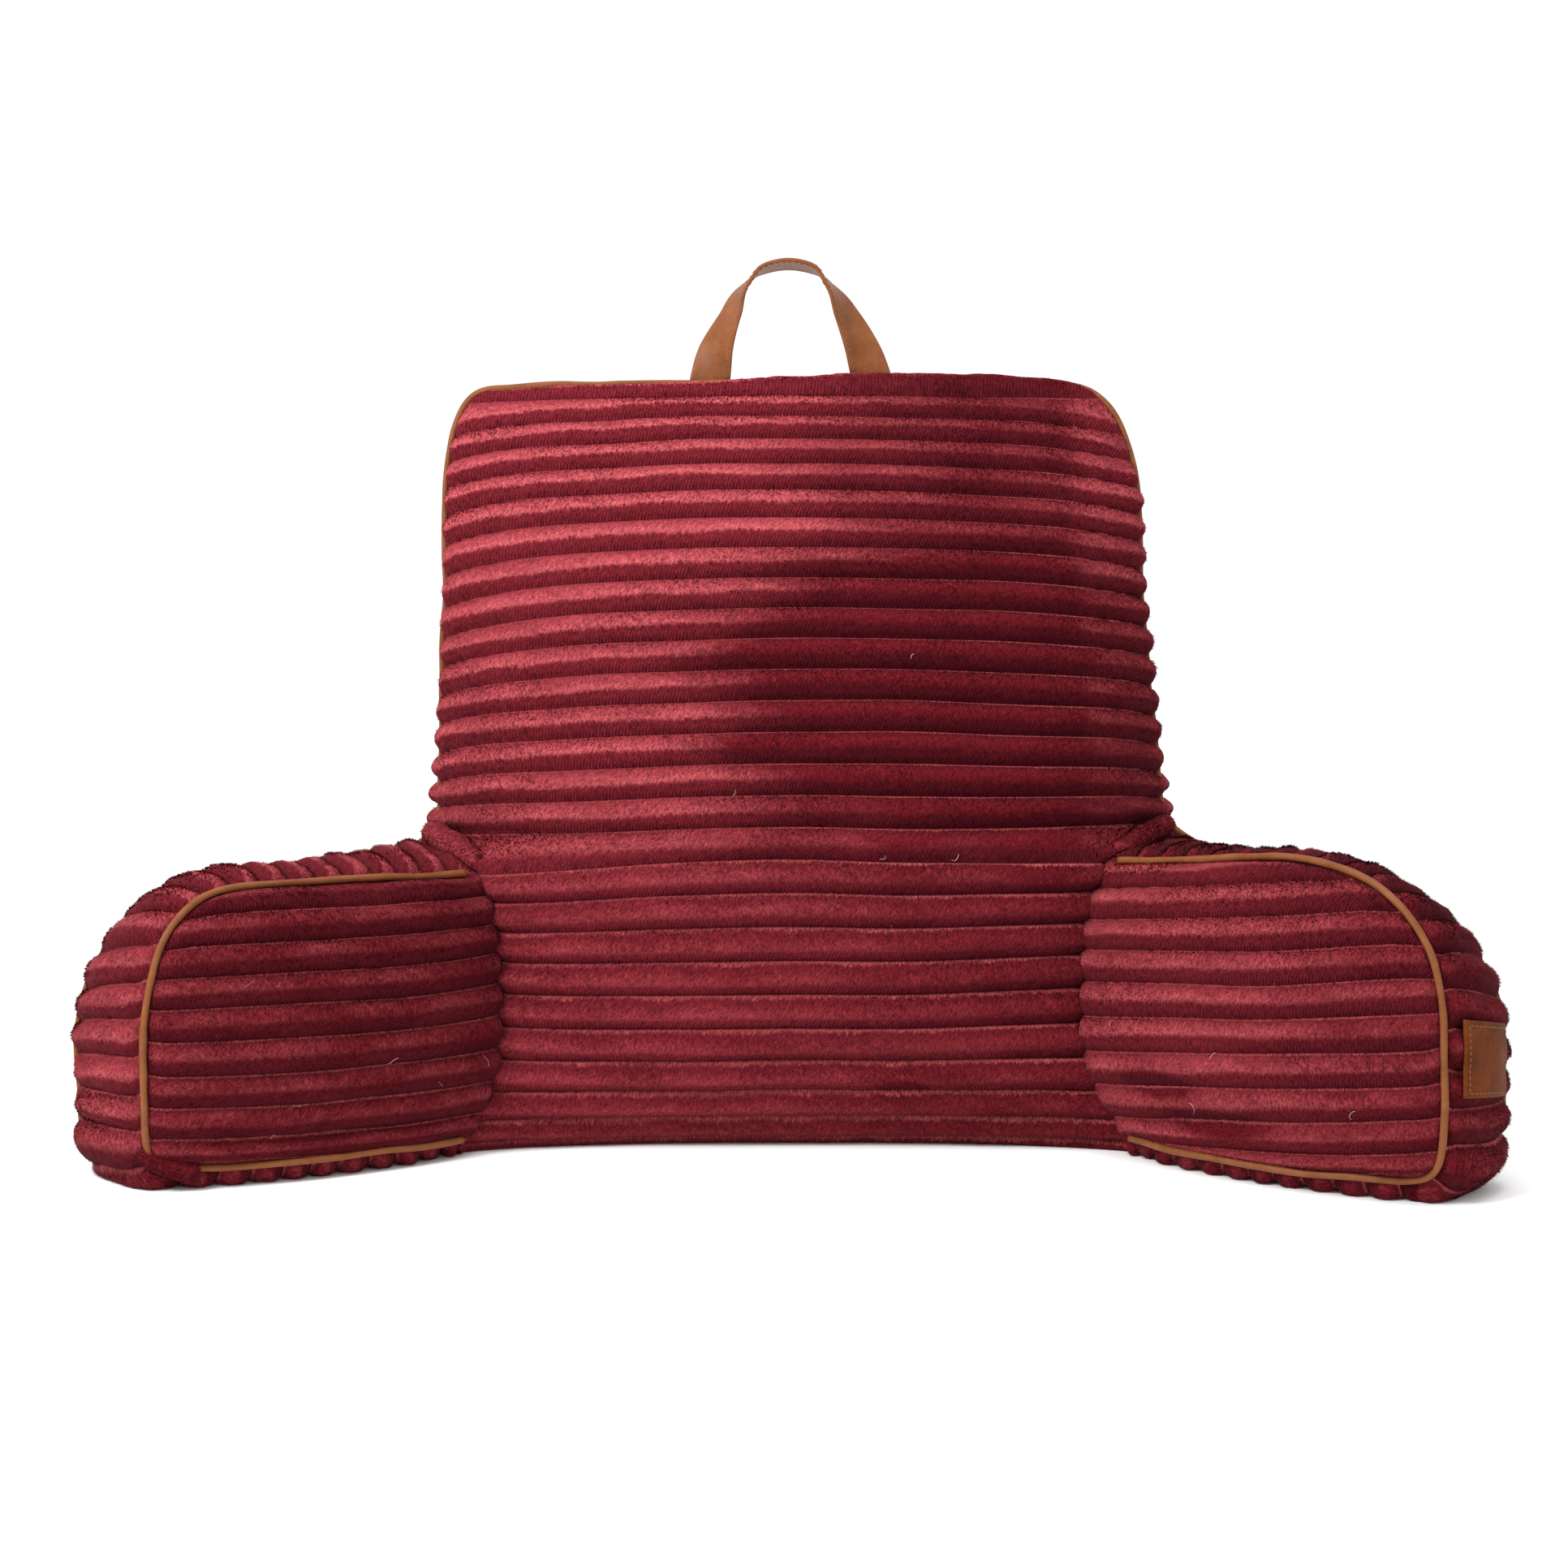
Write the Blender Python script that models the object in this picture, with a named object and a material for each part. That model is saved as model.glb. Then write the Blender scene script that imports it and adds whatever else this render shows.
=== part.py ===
"""Backrest pillow with two arms: wide-rib plush cushions, leather piping, a strap handle and a patch.

The pillow stands on its base, upright, as in use. Its front faces -Y, +Z is up, and the origin
is on the floor at the middle of the base. All sizes are in metres.
"""
from math import pi

import bmesh
import bpy
import numpy as np

# Cloth
RIB_PITCH = 0.022            # groove to groove, measured along the cloth
RIB_RELIEF = 0.0062          # a crest's height over its grooves
RIB_BASE = 0.62              # share of the relief that lies under the cushion's mean surface
FIRST_GROOVE = 0.010         # from the top seam to the first groove
ROW_STEP = RIB_PITCH / 4     # rows of points on a panel
STATION_STEP = RIB_PITCH / 3  # stations along a gusset strip
SEAM_FADE = 0.016            # the ribs flatten out over this distance from a seam
RIB_END_SHARE = 0.06         # and over this share of an arm panel's height
PANEL_RIB_ENDS = 0.4         # how quickly the ribs grow along an arm's panel, as an exponent
STRIP_RIB_ENDS = 0.3         # and across a gusset strip
SHORTEST_ROW = 0.3           # the last row is at least this share of a row's step

# Seams and piping
SEAT = 0.0030                # a seam's edge is cut back this far on both sides, as a seat for the piping
SEAT_RAMP = 0.040            # the backrest thickens by its seat over this distance above the arms
JUNCTION_SEAT = 0.0006       # the seat closes up where the outer seam turns onto the arm
THIN_EDGE = 0.030            # the ribs grow to their full height where the cushion is this thick
PIPING_RADIUS = 0.0024
PIPING_GAP = 0.0010          # between the piping and its seat
PIPING_SIDES = 6
PIPING_POINTS = 160          # points along an arm's seam, before they are thinned out
PIPING_EASE = 4              # times that a piping's line is evened out
PIPING_STEP = 0.015
PIPING_TURN = 0.20           # the piping's points are closer together where it bends by this much
PIPING_SHORT = 0.3           # but no closer than this share of a step
PIPING_START = 0.012         # an arm's piping starts this far from the front panel
FLOOR_GAP = 0.002
ROOT_GAP = 0.0009            # between an arm's root and the backrest
ARM_BASE_SEAM = 0.0134       # height of an arm's lower seams where they leave the backrest

# Backrest: a section at each distance down the cloth from the top seam
BACKREST_COLUMNS = 12
BASE_T = 0.5665              # the cloth's length from the top seam to the floor
TOP_SEAM_Y = 0.040
SECTION_NAMES = ("t", "front_y", "front_z", "back_y", "back_z", "left_z", "right_z")
SECTIONS = (
    (0.000, 0.0400, 0.5030, 0.040, 0.503, 0.4985, 0.5015),
    (0.032, 0.0160, 0.4830, 0.067, 0.489, 0.4740, 0.4760),
    (0.098, -0.0240, 0.4335, 0.100, 0.436, 0.4200, 0.4210),
    (0.186, -0.0665, 0.3560, 0.121, 0.352, 0.3380, 0.3440),
    (0.274, -0.1000, 0.2750, 0.129, 0.267, 0.2570, 0.2640),
    (0.362, -0.1280, 0.1920, 0.131, 0.183, 0.1795, 0.1880),
    (0.450, -0.1444, 0.1050, 0.131, 0.100, 0.1030, 0.1060),
    (0.494, -0.1465, 0.0610, 0.129, 0.058, 0.0610, 0.0620),
    (0.538, -0.1320, 0.0204, 0.122, 0.019, 0.0210, 0.0210),
    (0.5665, -0.1140, 0.0000, 0.112, 0.000, 0.0000, 0.0000),
)
FRONT_ROUND = (2.6, 0.62)    # the crown across the front: (1 - |s|**a)**b
BACK_ROUND = (2.4, 0.66)
WAIST_ROUND = 0.95           # the back's exponent below the arms' tops, where it runs on into them
WAIST_ROWS = 8               # rows over which it changes to that

# The seam round the front panel, on each side: above the arm it is the piped outer seam,
# below it is the seam that joins the arm's inner panel
SEAM_NAMES = ("z", "x", "y")
LEFT_SEAM = (
    (0.000, -0.218, -0.150),
    (0.020, -0.206, -0.148),
    (0.053, -0.195, -0.136),
    (0.083, -0.193, -0.125),
    (0.114, -0.193, -0.115),
    (0.145, -0.197, -0.108),
    (0.172, -0.203, -0.103),
)
RIGHT_SEAM = (
    (0.000, 0.226, -0.150),
    (0.023, 0.2125, -0.147),
    (0.043, 0.200, -0.140),
    (0.063, 0.194, -0.133),
    (0.114, 0.193, -0.115),
    (0.151, 0.196, -0.107),
    (0.174, 0.202, -0.103),
)
UPPER_SEAM_NAMES = ("z", "y")
UPPER_SEAM = (
    (0.200, -0.012),
    (0.260, -0.006),
    (0.330, 0.004),
    (0.400, 0.018),
    (0.463, 0.031),
    (0.505, TOP_SEAM_Y),
)
JUNCTION_ROWS = 4            # rows between an arm's top inner corner and the outer seam
CORNER_POWER = 2.0
FLARE_Z = (0.20, 0.36)       # the backrest's sides flare out a little between these heights
BACK_SWELL = 0.018           # how far the outer surface stands out below the outer seam
BACK_SWELL_TURN = 0.75       # the share of a half wave that this swell runs through down to the floor

SIDES = {
    "left": dict(
        sign=-1, seam=LEFT_SEAM, side_x=0.2370, low_x=0.2410, corner=(0.026, 0.070),
        corner_z=0.1805, top_corner=(0.2085, 0.101), tip=(0.4017, 0.2636), thickness=0.088,
        top_z=0.187, tip_z=0.080, round_u=0.080, outer_reach=-0.002, outer_top=-0.018,
        corner_radius=0.018, inner_swell=0.030, base_swell=0.022, crown=0.012, top_crown=0.013),
    "right": dict(
        sign=1, seam=RIGHT_SEAM, side_x=0.2390, low_x=0.2540, corner=(0.045, 0.085),
        corner_z=0.1880, top_corner=(0.2085, 0.101), tip=(0.3968, 0.3035), thickness=0.088,
        top_z=0.2045, tip_z=0.090, round_u=0.128, outer_reach=-0.020, outer_top=-0.026,
        corner_radius=0.022, inner_swell=0.030, base_swell=0.024, crown=0.014, top_crown=0.008),
}
ARM_COLUMNS = 7
GUSSET_COLUMNS = 4
OUTER_SWELL = 0.012          # beyond the swell of the backrest's side that it runs on from
OUTER_BASE = 0.4
OUTER_DROP = 3               # the outer panel's top falls quickly from the junction, then runs level
SWELL_ROUND = (2.5, 0.6)     # an arm panel's fullness from its top to its base
SWELL_ALONG = 0.6            # and along it, as the exponent of a half wave
OUTLINE_POINTS = 120
TURN_SPLIT = 0.35            # where an arm panel's far upper corner lies on the round of its outline
STRIP_ROUND = 0.7            # the gusset strip's crown across it, as the exponent of a half wave
ROOT_BLEND = 0.050           # the gusset strip takes its own form over this distance from its ends
SEAT_FADE = 0.008            # the seat closes up over this distance from the roots
SEAT_RUN = 0.014             # an arm panel's points this far from the seam stay where they are
INNER_POWER = 2.6            # the superellipse of the round top corner of an arm's inner panel
OUTER_POWER = 2.0            # and of its outer panel
BASE_SQUEEZE = 0.42          # below, the strip turns under close to its seams
BASE_CROWN = 0.020           # the lower gusset's sag, cut flat by the floor

# Handle
HANDLE_NAMES = ("f", "x", "y", "z", "turn")
HANDLE = (
    (0.00, -0.0570, 0.0455, 0.5040, 0),
    (0.14, -0.0521, 0.0468, 0.5280, 31),
    (0.27, -0.0427, 0.0485, 0.5503, 53),
    (0.40, -0.0310, 0.0495, 0.5727, 73),
    (0.45, -0.0205, 0.0500, 0.5825, 84),
    (0.50, -0.0020, 0.0500, 0.5865, 90),
    (0.55, 0.0165, 0.0500, 0.5825, 96),
    (0.60, 0.0262, 0.0495, 0.5722, 109),
    (0.73, 0.0393, 0.0485, 0.5503, 134),
    (0.86, 0.0496, 0.0468, 0.5280, 153),
    (1.00, 0.0570, 0.0455, 0.5040, 180),
)
HANDLE_WIDTH = 0.028
HANDLE_THICKNESS = 0.0026
HANDLE_TILT = -0.2           # at the top the front edge is the higher one
HANDLE_STEPS = 30

# Label
LABEL_ALONG = (0.069, 0.118)  # from this height to this height, up the gusset strip
LABEL_ACROSS = (0.10, 0.62)   # shares of the strip's width
LABEL_THICKNESS = 0.0018
LABEL_GAP = 0.0007
LABEL_CELLS = (6, 4)
LABEL_SAMPLES = 600          # points looked through for the label's place on the seam
TIP_FACING = 0.6             # the arm's tip is where the strip's seam is steeper than this
SHARP_ANGLE = 0.6            # edges that bend by more radians than this stay sharp

# Colours: red, green, blue
PLUSH_RED = (0.26, 0.012, 0.030)
LEATHER_TAN = (0.33, 0.115, 0.030)


def column(rows, names, name):
    """One named column of a table."""
    return np.array([row[names.index(name)] for row in rows], float)


def smooth(x, xs, ys):
    """A smooth curve through a table's points, with a Catmull-Rom slope at each."""
    xs = np.asarray(xs, float)
    ys = np.asarray(ys, float)
    slopes = np.gradient(ys, xs)
    x = np.clip(x, xs[0], xs[-1])
    i = np.clip(np.searchsorted(xs, x, side="right") - 1, 0, len(xs) - 2)
    width = xs[i + 1] - xs[i]
    f = (x - xs[i]) / width
    start = (1 + 2 * f) * (1 - f) ** 2 * ys[i] + f * (1 - f) ** 2 * width * slopes[i]
    end = f * f * (3 - 2 * f) * ys[i + 1] + f * f * (f - 1) * width * slopes[i + 1]
    return start + end


def unit(vectors):
    """Vectors scaled to length one."""
    return vectors / np.maximum(np.linalg.norm(vectors, axis=-1, keepdims=True), 1e-12)


def half_wave(shares, power):
    """Nothing at shares 0 and 1 and one halfway, the flatter between them the lower the power."""
    return np.sin(pi * np.clip(shares, 0, 1)).clip(0) ** power


def rib_height(distance):
    """Height of the ribbed cloth over its mean surface, a sharp groove and a round crest."""
    wave = np.abs(np.sin(pi * distance / RIB_PITCH))
    return RIB_RELIEF * (np.sqrt(wave) - RIB_BASE)


def grid_normals(points):
    """Unit normals of a grid of points, rows down and columns across."""
    down = np.gradient(points, axis=0)
    across = np.gradient(points, axis=1)
    return unit(np.cross(down, across))


def arc_lengths(points):
    """Distance from the first point to each point of a line."""
    steps = np.linalg.norm(np.diff(points, axis=0), axis=1)
    return np.concatenate([[0.0], np.cumsum(steps)])


# The backrest's shape

def section(t, name):
    """A value of the backrest's section at a distance down the cloth."""
    return smooth(t, column(SECTIONS, SECTION_NAMES, "t"), column(SECTIONS, SECTION_NAMES, name))


def row_distances():
    """Distances down the cloth of the backrest's rows, so that each groove has a row."""
    first = FIRST_GROOVE % ROW_STEP
    inner = np.arange(first, BASE_T - SHORTEST_ROW * ROW_STEP, ROW_STEP)
    return np.concatenate([[0.0], inner, [BASE_T]])


def junction_row(side):
    """The row where the outer seam turns from the backrest's side to the arm."""
    heights = section(row_distances(), side + "_z")
    top_row = int(np.argmin(np.abs(heights - SIDES[side]["corner_z"])))
    return top_row - JUNCTION_ROWS


def outer_seam(side, z):
    """Plan position of the outer seam up the backrest's side, with its round top corner."""
    shape = SIDES[side]
    top_z = section(0.0, side + "_z")
    corner_x, corner_z = shape["corner"]
    low = np.interp(z, FLARE_Z, [shape["low_x"], shape["side_x"]])
    share = np.clip((z - (top_z - corner_z)) / corner_z, 0, 1)
    x = low - corner_x * (1 - (1 - share ** CORNER_POWER) ** (1 / CORNER_POWER))
    y = smooth(z, column(UPPER_SEAM, UPPER_SEAM_NAMES, "z"), column(UPPER_SEAM, UPPER_SEAM_NAMES, "y"))
    return np.stack([shape["sign"] * x, y], -1)


def front_edge(side, row):
    """The front panel's side edge at a row."""
    shape = SIDES[side]
    z = section(row_distances()[row], side + "_z")
    junction = junction_row(side)
    if row <= junction:
        return np.append(outer_seam(side, z), z)
    corner = np.array([shape["sign"] * shape["top_corner"][0], -shape["top_corner"][1]])
    corner_row = junction + JUNCTION_ROWS
    if row <= corner_row:
        junction_z = section(row_distances()[junction], side + "_z")
        share = (row - junction) / JUNCTION_ROWS
        point = (1 - share) * outer_seam(side, junction_z) + share * corner
        return np.append(point, z)
    corner_z = section(row_distances()[corner_row], side + "_z")
    zs = np.append(column(shape["seam"], SEAM_NAMES, "z"), corner_z)
    xs = np.append(column(shape["seam"], SEAM_NAMES, "x"), corner[0])
    ys = np.append(column(shape["seam"], SEAM_NAMES, "y"), corner[1])
    return np.array([smooth(z, zs, xs), smooth(z, zs, ys), z])


def back_edge(side, row):
    """The back panel's side edge at a row: the outer seam, and below it the arm's outer surface."""
    shape = SIDES[side]
    z = section(row_distances()[row], side + "_z")
    junction = junction_row(side)
    if row <= junction:
        return np.append(outer_seam(side, z), z)
    junction_z = section(row_distances()[junction], side + "_z")
    swell = BACK_SWELL * np.sin(BACK_SWELL_TURN * pi * (junction_z - z) / junction_z)
    outward = arm_frame(side)[2]
    return np.append(outer_seam(side, junction_z) + swell * outward[:2], z)


def crown(s, exponents):
    """The crown's share of its full height at s, from -1 to 1 across a panel."""
    a, b = exponents
    return (1 - np.minimum(np.abs(s), 1) ** a) ** b


def backrest_panel(front):
    """Grid of points of the front or the back panel, without ribs, from left to right."""
    distances = row_distances()
    name = "front" if front else "back"
    edge = front_edge if front else back_edge
    spread = np.sin(0.5 * pi * np.linspace(-1, 1, BACKREST_COLUMNS + 1))
    rows = []
    for row, t in enumerate(distances):
        left = edge("left", row)
        right = edge("right", row)
        mid_y = section(t, name + "_y")
        mid_z = section(t, name + "_z")
        points = []
        for s in spread:
            near = left if s < 0 else right
            side = "left" if s < 0 else "right"
            shape = FRONT_ROUND if front else BACK_ROUND
            if not front:
                below = np.clip((row - junction_row(side)) / WAIST_ROWS, 0, 1)
                shape = (BACK_ROUND[0], BACK_ROUND[1] + below * (WAIST_ROUND - BACK_ROUND[1]))
            share = crown(s, shape)
            x = (right[0] - left[0]) / 2 * s + (right[0] + left[0]) / 2
            y = near[1] + (mid_y - near[1]) * share
            z = mid_z + (near[2] - mid_z) * s * s
            points.append((x, y, z))
        rows.append(points)
    return np.array(rows)


def seam_fade(points):
    """From 0 at a panel's side edges to 1 away from them."""
    steps = np.linalg.norm(np.diff(points, axis=1), axis=2)
    from_left = np.concatenate([np.zeros((len(points), 1)), np.cumsum(steps, axis=1)], axis=1)
    to_right = from_left[:, -1:] - from_left
    return np.clip(np.minimum(from_left, to_right) / SEAM_FADE, 0, 1)


def backrest_grids():
    """The front and the back panel's points, with ribs and with a seat for the outer piping."""
    distances = row_distances()
    junction = junction_row("left")
    thickness = np.linalg.norm(backrest_panel(True) - backrest_panel(False), axis=2)
    thin = np.clip(thickness / THIN_EDGE, 0, 1)
    grids = []
    for front in (True, False):
        smooth_grid = backrest_panel(front)
        outward = grid_normals(smooth_grid) * (1 if front else -1)
        fade = seam_fade(smooth_grid)
        relief = rib_height(distances - FIRST_GROOVE)[:, None] * fade * thin
        grid = smooth_grid + outward * relief[:, :, None]
        toward = np.array([0, -1, 0]) if front else np.array([0, 1, 0])
        above = np.clip((distances[junction] - distances) / SEAT_RAMP, 0, 1)
        grid[:, 1:-1] += toward * SEAT * above[:, None, None]
        for side, index in (("left", 0), ("right", -1)):
            upper = junction_row(side)
            grid[:upper, index] += toward * SEAT
            grid[upper, index] += toward * JUNCTION_SEAT
        grid[:, :, 2] = np.maximum(grid[:, :, 2], 0.0)
        grid[-1, :, 2] = 0.0
        grids.append(grid)
    return grids


# The arms' shape

def arm_frame(side):
    """An arm's top inner corner, its direction along and its direction out through its thickness."""
    shape = SIDES[side]
    sign = shape["sign"]
    corner = np.array([sign * shape["top_corner"][0], -shape["top_corner"][1], 0])
    tip = np.array([sign * shape["tip"][0], -shape["tip"][1], 0])
    along = unit(tip - corner)
    outward = np.array([-along[1], along[0], 0]) * sign
    return corner, along, outward


def arm_length(side):
    """Length of the arm's inner panel, from the front panel's seam to the tip."""
    shape = SIDES[side]
    return float(np.hypot(shape["tip"][0] - shape["top_corner"][0], shape["tip"][1] - shape["top_corner"][1]))


def outline_sizes(side, outer):
    """Reach along the arm and top height of a panel's outline."""
    shape = SIDES[side]
    length = arm_length(side) + (shape["outer_reach"] if outer else 0)
    top_z = shape["top_z"] + (shape["outer_top"] if outer else 0)
    return length, top_z


def turn_drop(share, outer):
    """The round of an outline's top corner: nothing at its start and one at its end."""
    power = OUTER_POWER if outer else INNER_POWER
    return 1 - (1 - share ** power) ** (1 / power)


def outline_reach(side, z, outer):
    """How far along the arm the panel's outline lies at a height."""
    shape = SIDES[side]
    length, top_z = outline_sizes(side, outer)
    round_z = top_z - shape["tip_z"]
    up = np.clip((z - shape["tip_z"]) / round_z, 0, 1)
    reach = length - shape["round_u"] * turn_drop(up, outer)
    radius = shape["corner_radius"]
    down = np.clip((ARM_BASE_SEAM + radius - z) / radius, 0, 1)
    return reach - radius * (1 - np.sqrt(1 - down ** 2))


def outline_height(side, reach, root_z, outer):
    """Height of the outline's top edge at a reach along the arm, before its turn down at the tip."""
    shape = SIDES[side]
    length, top_z = outline_sizes(side, outer)
    flat = length - shape["round_u"]
    share = np.clip(reach / flat, 0, 1)
    line_z = root_z + (top_z - root_z) * (1 - (1 - share) ** (OUTER_DROP if outer else 1))
    over = np.clip((reach - flat) / shape["round_u"], 0, 1)
    return line_z - (top_z - shape["tip_z"]) * turn_drop(over, outer)


def arm_rows(side, outer):
    """The backrest rows that an arm panel's rows start from, top to bottom."""
    heights = section(row_distances(), side + "_z")
    junction = junction_row(side)
    last = int(np.argmin(np.abs(heights - ARM_BASE_SEAM)))
    return range(junction if outer else junction + JUNCTION_ROWS, last + 1)


def arm_root(side, outer):
    """An arm panel's edge against the backrest, a point for each row."""
    edge = back_edge if outer else front_edge
    return np.array([edge(side, row) for row in arm_rows(side, outer)])


def arm_panel(side, outer, shares, alongs):
    """Grid of an arm panel's points: shares run from top to bottom, alongs from the root to the tip.

    The panel's upper far corner lies part of the way round the outline's turn, at TURN_SPLIT.
    """
    shape = SIDES[side]
    corner, along, outward = arm_frame(side)
    root = arm_root(side, outer)
    root_shares = (root[0, 2] - root[:, 2]) / (root[0, 2] - root[-1, 2])
    starts = np.stack([np.interp(shares, root_shares, root[:, k]) for k in range(3)], -1)
    split_reach = outline_sizes(side, outer)[0] - TURN_SPLIT * shape["round_u"]
    split_z = outline_height(side, split_reach, root[0, 2], outer)
    tip_z = split_z + (ARM_BASE_SEAM - split_z) * shares
    base = corner + (outward * shape["thickness"] if outer else 0)
    tips = base + along * outline_reach(side, tip_z, outer)[:, None]
    tips[:, 2] = tip_z
    a = alongs[None, :, None]
    points = starts[:, None, :] * (1 - a) + tips[:, None, :] * a
    top_edge = outline_height(side, alongs * split_reach, root[0, 2], outer)
    arch = top_edge - (root[0, 2] * (1 - alongs) + split_z * alongs)
    points[:, :, 2] += arch[None, :] * (1 - shares[:, None]) ** 2
    full = OUTER_SWELL if outer else shape["inner_swell"]
    low = shape["base_swell"] * (OUTER_BASE if outer else 1)
    swell = np.maximum(full * crown(2 * shares - 1, SWELL_ROUND), low * shares ** 2)
    swell = swell[:, None] * half_wave(alongs, SWELL_ALONG)[None, :]
    facing = outward if outer else -outward
    return points + swell[:, :, None] * facing


def arm_outline(side, outer):
    """The seam round an arm's panel as a dense line: along the top, down the tip and back below."""
    alongs = np.linspace(0, 1, OUTLINE_POINTS)
    shares = np.linspace(0, 1, OUTLINE_POINTS)
    top = arm_panel(side, outer, np.array([0.0]), alongs)[0]
    tip = arm_panel(side, outer, shares, np.array([1.0]))[:, 0]
    base = arm_panel(side, outer, np.array([1.0]), alongs[::-1])[0]
    return np.concatenate([top, tip[1:-1], base])


def along_line(points, distances, lengths):
    """Points at these distances along a line whose points lie at these lengths."""
    return np.stack([np.interp(distances, lengths, points[:, k]) for k in range(3)], -1)


def inward(side, points):
    """Unit directions from an arm's outline into its panel, at each point of the line."""
    outward = arm_frame(side)[2]
    tangents = unit(np.gradient(points, axis=0))
    return unit(np.cross(outward, tangents)) * SIDES[side]["sign"]


def gusset_lines(side, distances):
    """The gusset strip's inner and outer seam at these distances from its start on top."""
    inner = arm_outline(side, False)
    outer = arm_outline(side, True)
    lengths = arc_lengths(0.5 * (inner + outer))
    return along_line(inner, distances, lengths), along_line(outer, distances, lengths)


def gusset_length(side):
    """Length of the gusset strip, round the arm from the top to the base."""
    return arc_lengths(0.5 * (arm_outline(side, False) + arm_outline(side, True)))[-1]


def gusset_grid(side, distances, across):
    """Smooth points of the gusset strip, a row at each distance and columns from inner to outer."""
    shape = SIDES[side]
    inner, outer = gusset_lines(side, distances)
    out = -unit(inward(side, inner) + inward(side, outer))
    below = np.clip(-out[:, 2], 0, 1) ** 2
    above = np.clip(out[:, 2], 0, 1) ** 2
    squeezed = 0.5 + 0.5 * np.sign(across - 0.5) * np.abs(2 * across - 1) ** BASE_SQUEEZE
    q = (across + below[:, None] * (squeezed - across))[:, :, None]
    points = inner[:, None] * (1 - q) + outer[:, None] * q
    length = gusset_length(side)
    from_top = np.clip(distances / ROOT_BLEND, 0, 1)
    from_base = np.clip((length - distances) / ROOT_BLEND, 0, 1)
    height = shape["crown"] * (1 - below - above) + shape["top_crown"] * above
    height = height * from_top + BASE_CROWN * below * from_base
    profile = half_wave(across, STRIP_ROUND)
    return points + out[:, None] * height[:, None, None] * profile[None, :, None]


def gusset_root(side, base):
    """The strip's first or last row, on the backrest's rows."""
    if not base:
        corner_row = junction_row(side) + JUNCTION_ROWS
        return np.array([front_edge(side, corner_row - k) for k in range(GUSSET_COLUMNS + 1)])
    last = arm_rows(side, False)[-1]
    floor = len(row_distances()) - 1
    inner = front_edge(side, floor)
    outer = back_edge(side, floor)
    return np.array([front_edge(side, last), inner, 0.5 * (inner + outer), outer, back_edge(side, last)])


def gusset_points(side):
    """The gusset strip's points, with ribs, its seats for the piping and its two roots."""
    outward = arm_frame(side)[2]
    length = gusset_length(side)
    distances = np.linspace(0, length, int(round(length / STATION_STEP)) + 1)
    across = np.linspace(0, 1, GUSSET_COLUMNS + 1)
    grid = gusset_grid(side, distances, across)
    for base, start in ((False, 0), (True, -1)):
        change = gusset_root(side, base) - grid[start]
        away = np.abs(distances - distances[start]) / ROOT_BLEND
        grid += change[None] * (np.clip(1 - away, 0, 1) ** 2)[:, None, None]
    normals = grid_normals(grid)
    normals *= np.sign(np.sum(normals * (grid - grid.mean(axis=(0, 1))), axis=2, keepdims=True))
    ends = np.clip(np.minimum(distances, length - distances) / SEAM_FADE, 0, 1)
    relief = rib_height(distances)[:, None] * ends[:, None] * half_wave(across, STRIP_RIB_ENDS)[None, :]
    grid += normals * relief[:, :, None]
    seat = SEAT * np.clip(np.minimum(distances, length - distances) / SEAT_FADE, 0, 1)[:, None]
    grid[:, 0] += outward * seat
    grid[:, -1] -= outward * seat
    grid[:, :, 2] = np.maximum(grid[:, :, 2], 0.0)
    return grid


def seat_shift(side, outer, grid):
    """How far each point of an arm's panel moves in from the seam, to make the piping's seat."""
    seam = arm_outline(side, outer)
    lengths = arc_lengths(seam)
    fade = np.clip(np.minimum(lengths, lengths[-1] - lengths) / SEAT_FADE, 0, 1)
    facing = arm_frame(side)[2]
    flat_grid = grid - (grid @ facing)[:, :, None] * facing
    flat_seam = seam - (seam @ facing)[:, None] * facing
    away = np.linalg.norm(flat_grid[:, :, None] - flat_seam, axis=3)
    nearest = away.argmin(axis=2)
    amount = SEAT * fade[nearest] * np.clip(1 - away.min(axis=2) / SEAT_RUN, 0, 1)
    return inward(side, seam)[nearest] * amount[:, :, None]


def arm_panel_points(side, outer):
    """An arm panel's points, with ribs and with its edge cut back for the piping."""
    root = arm_root(side, outer)
    shares = (root[0, 2] - root[:, 2]) / (root[0, 2] - root[-1, 2])
    alongs = 0.5 - 0.5 * np.cos(pi * np.linspace(0, 1, ARM_COLUMNS + 1))
    grid = arm_panel(side, outer, shares, alongs)
    facing = arm_frame(side)[2] * (1 if outer else -1)
    normals = grid_normals(grid)
    normals *= np.sign(normals @ facing)[:, :, None]
    rows = np.array(list(arm_rows(side, outer)))
    relief = rib_height(row_distances()[rows] - FIRST_GROOVE)[:, None]
    ends = np.clip(np.minimum(shares, 1 - shares) / RIB_END_SHARE, 0, 1)[:, None]
    relief = relief * ends * half_wave(alongs, PANEL_RIB_ENDS)[None, :]
    shift = seat_shift(side, outer, grid)
    shift[:, 0] = 0
    return grid + shift + normals * relief[:, :, None]


# Meshes

def add_grid(mesh, points):
    """A grid's vertices, without faces."""
    return [[mesh.verts.new(point) for point in row] for row in points]


def fill_grid(mesh, verts):
    """Quads over a grid of vertices."""
    for upper, lower in zip(verts, verts[1:]):
        for k in range(len(upper) - 1):
            mesh.faces.new((upper[k], upper[k + 1], lower[k + 1], lower[k]))


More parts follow.
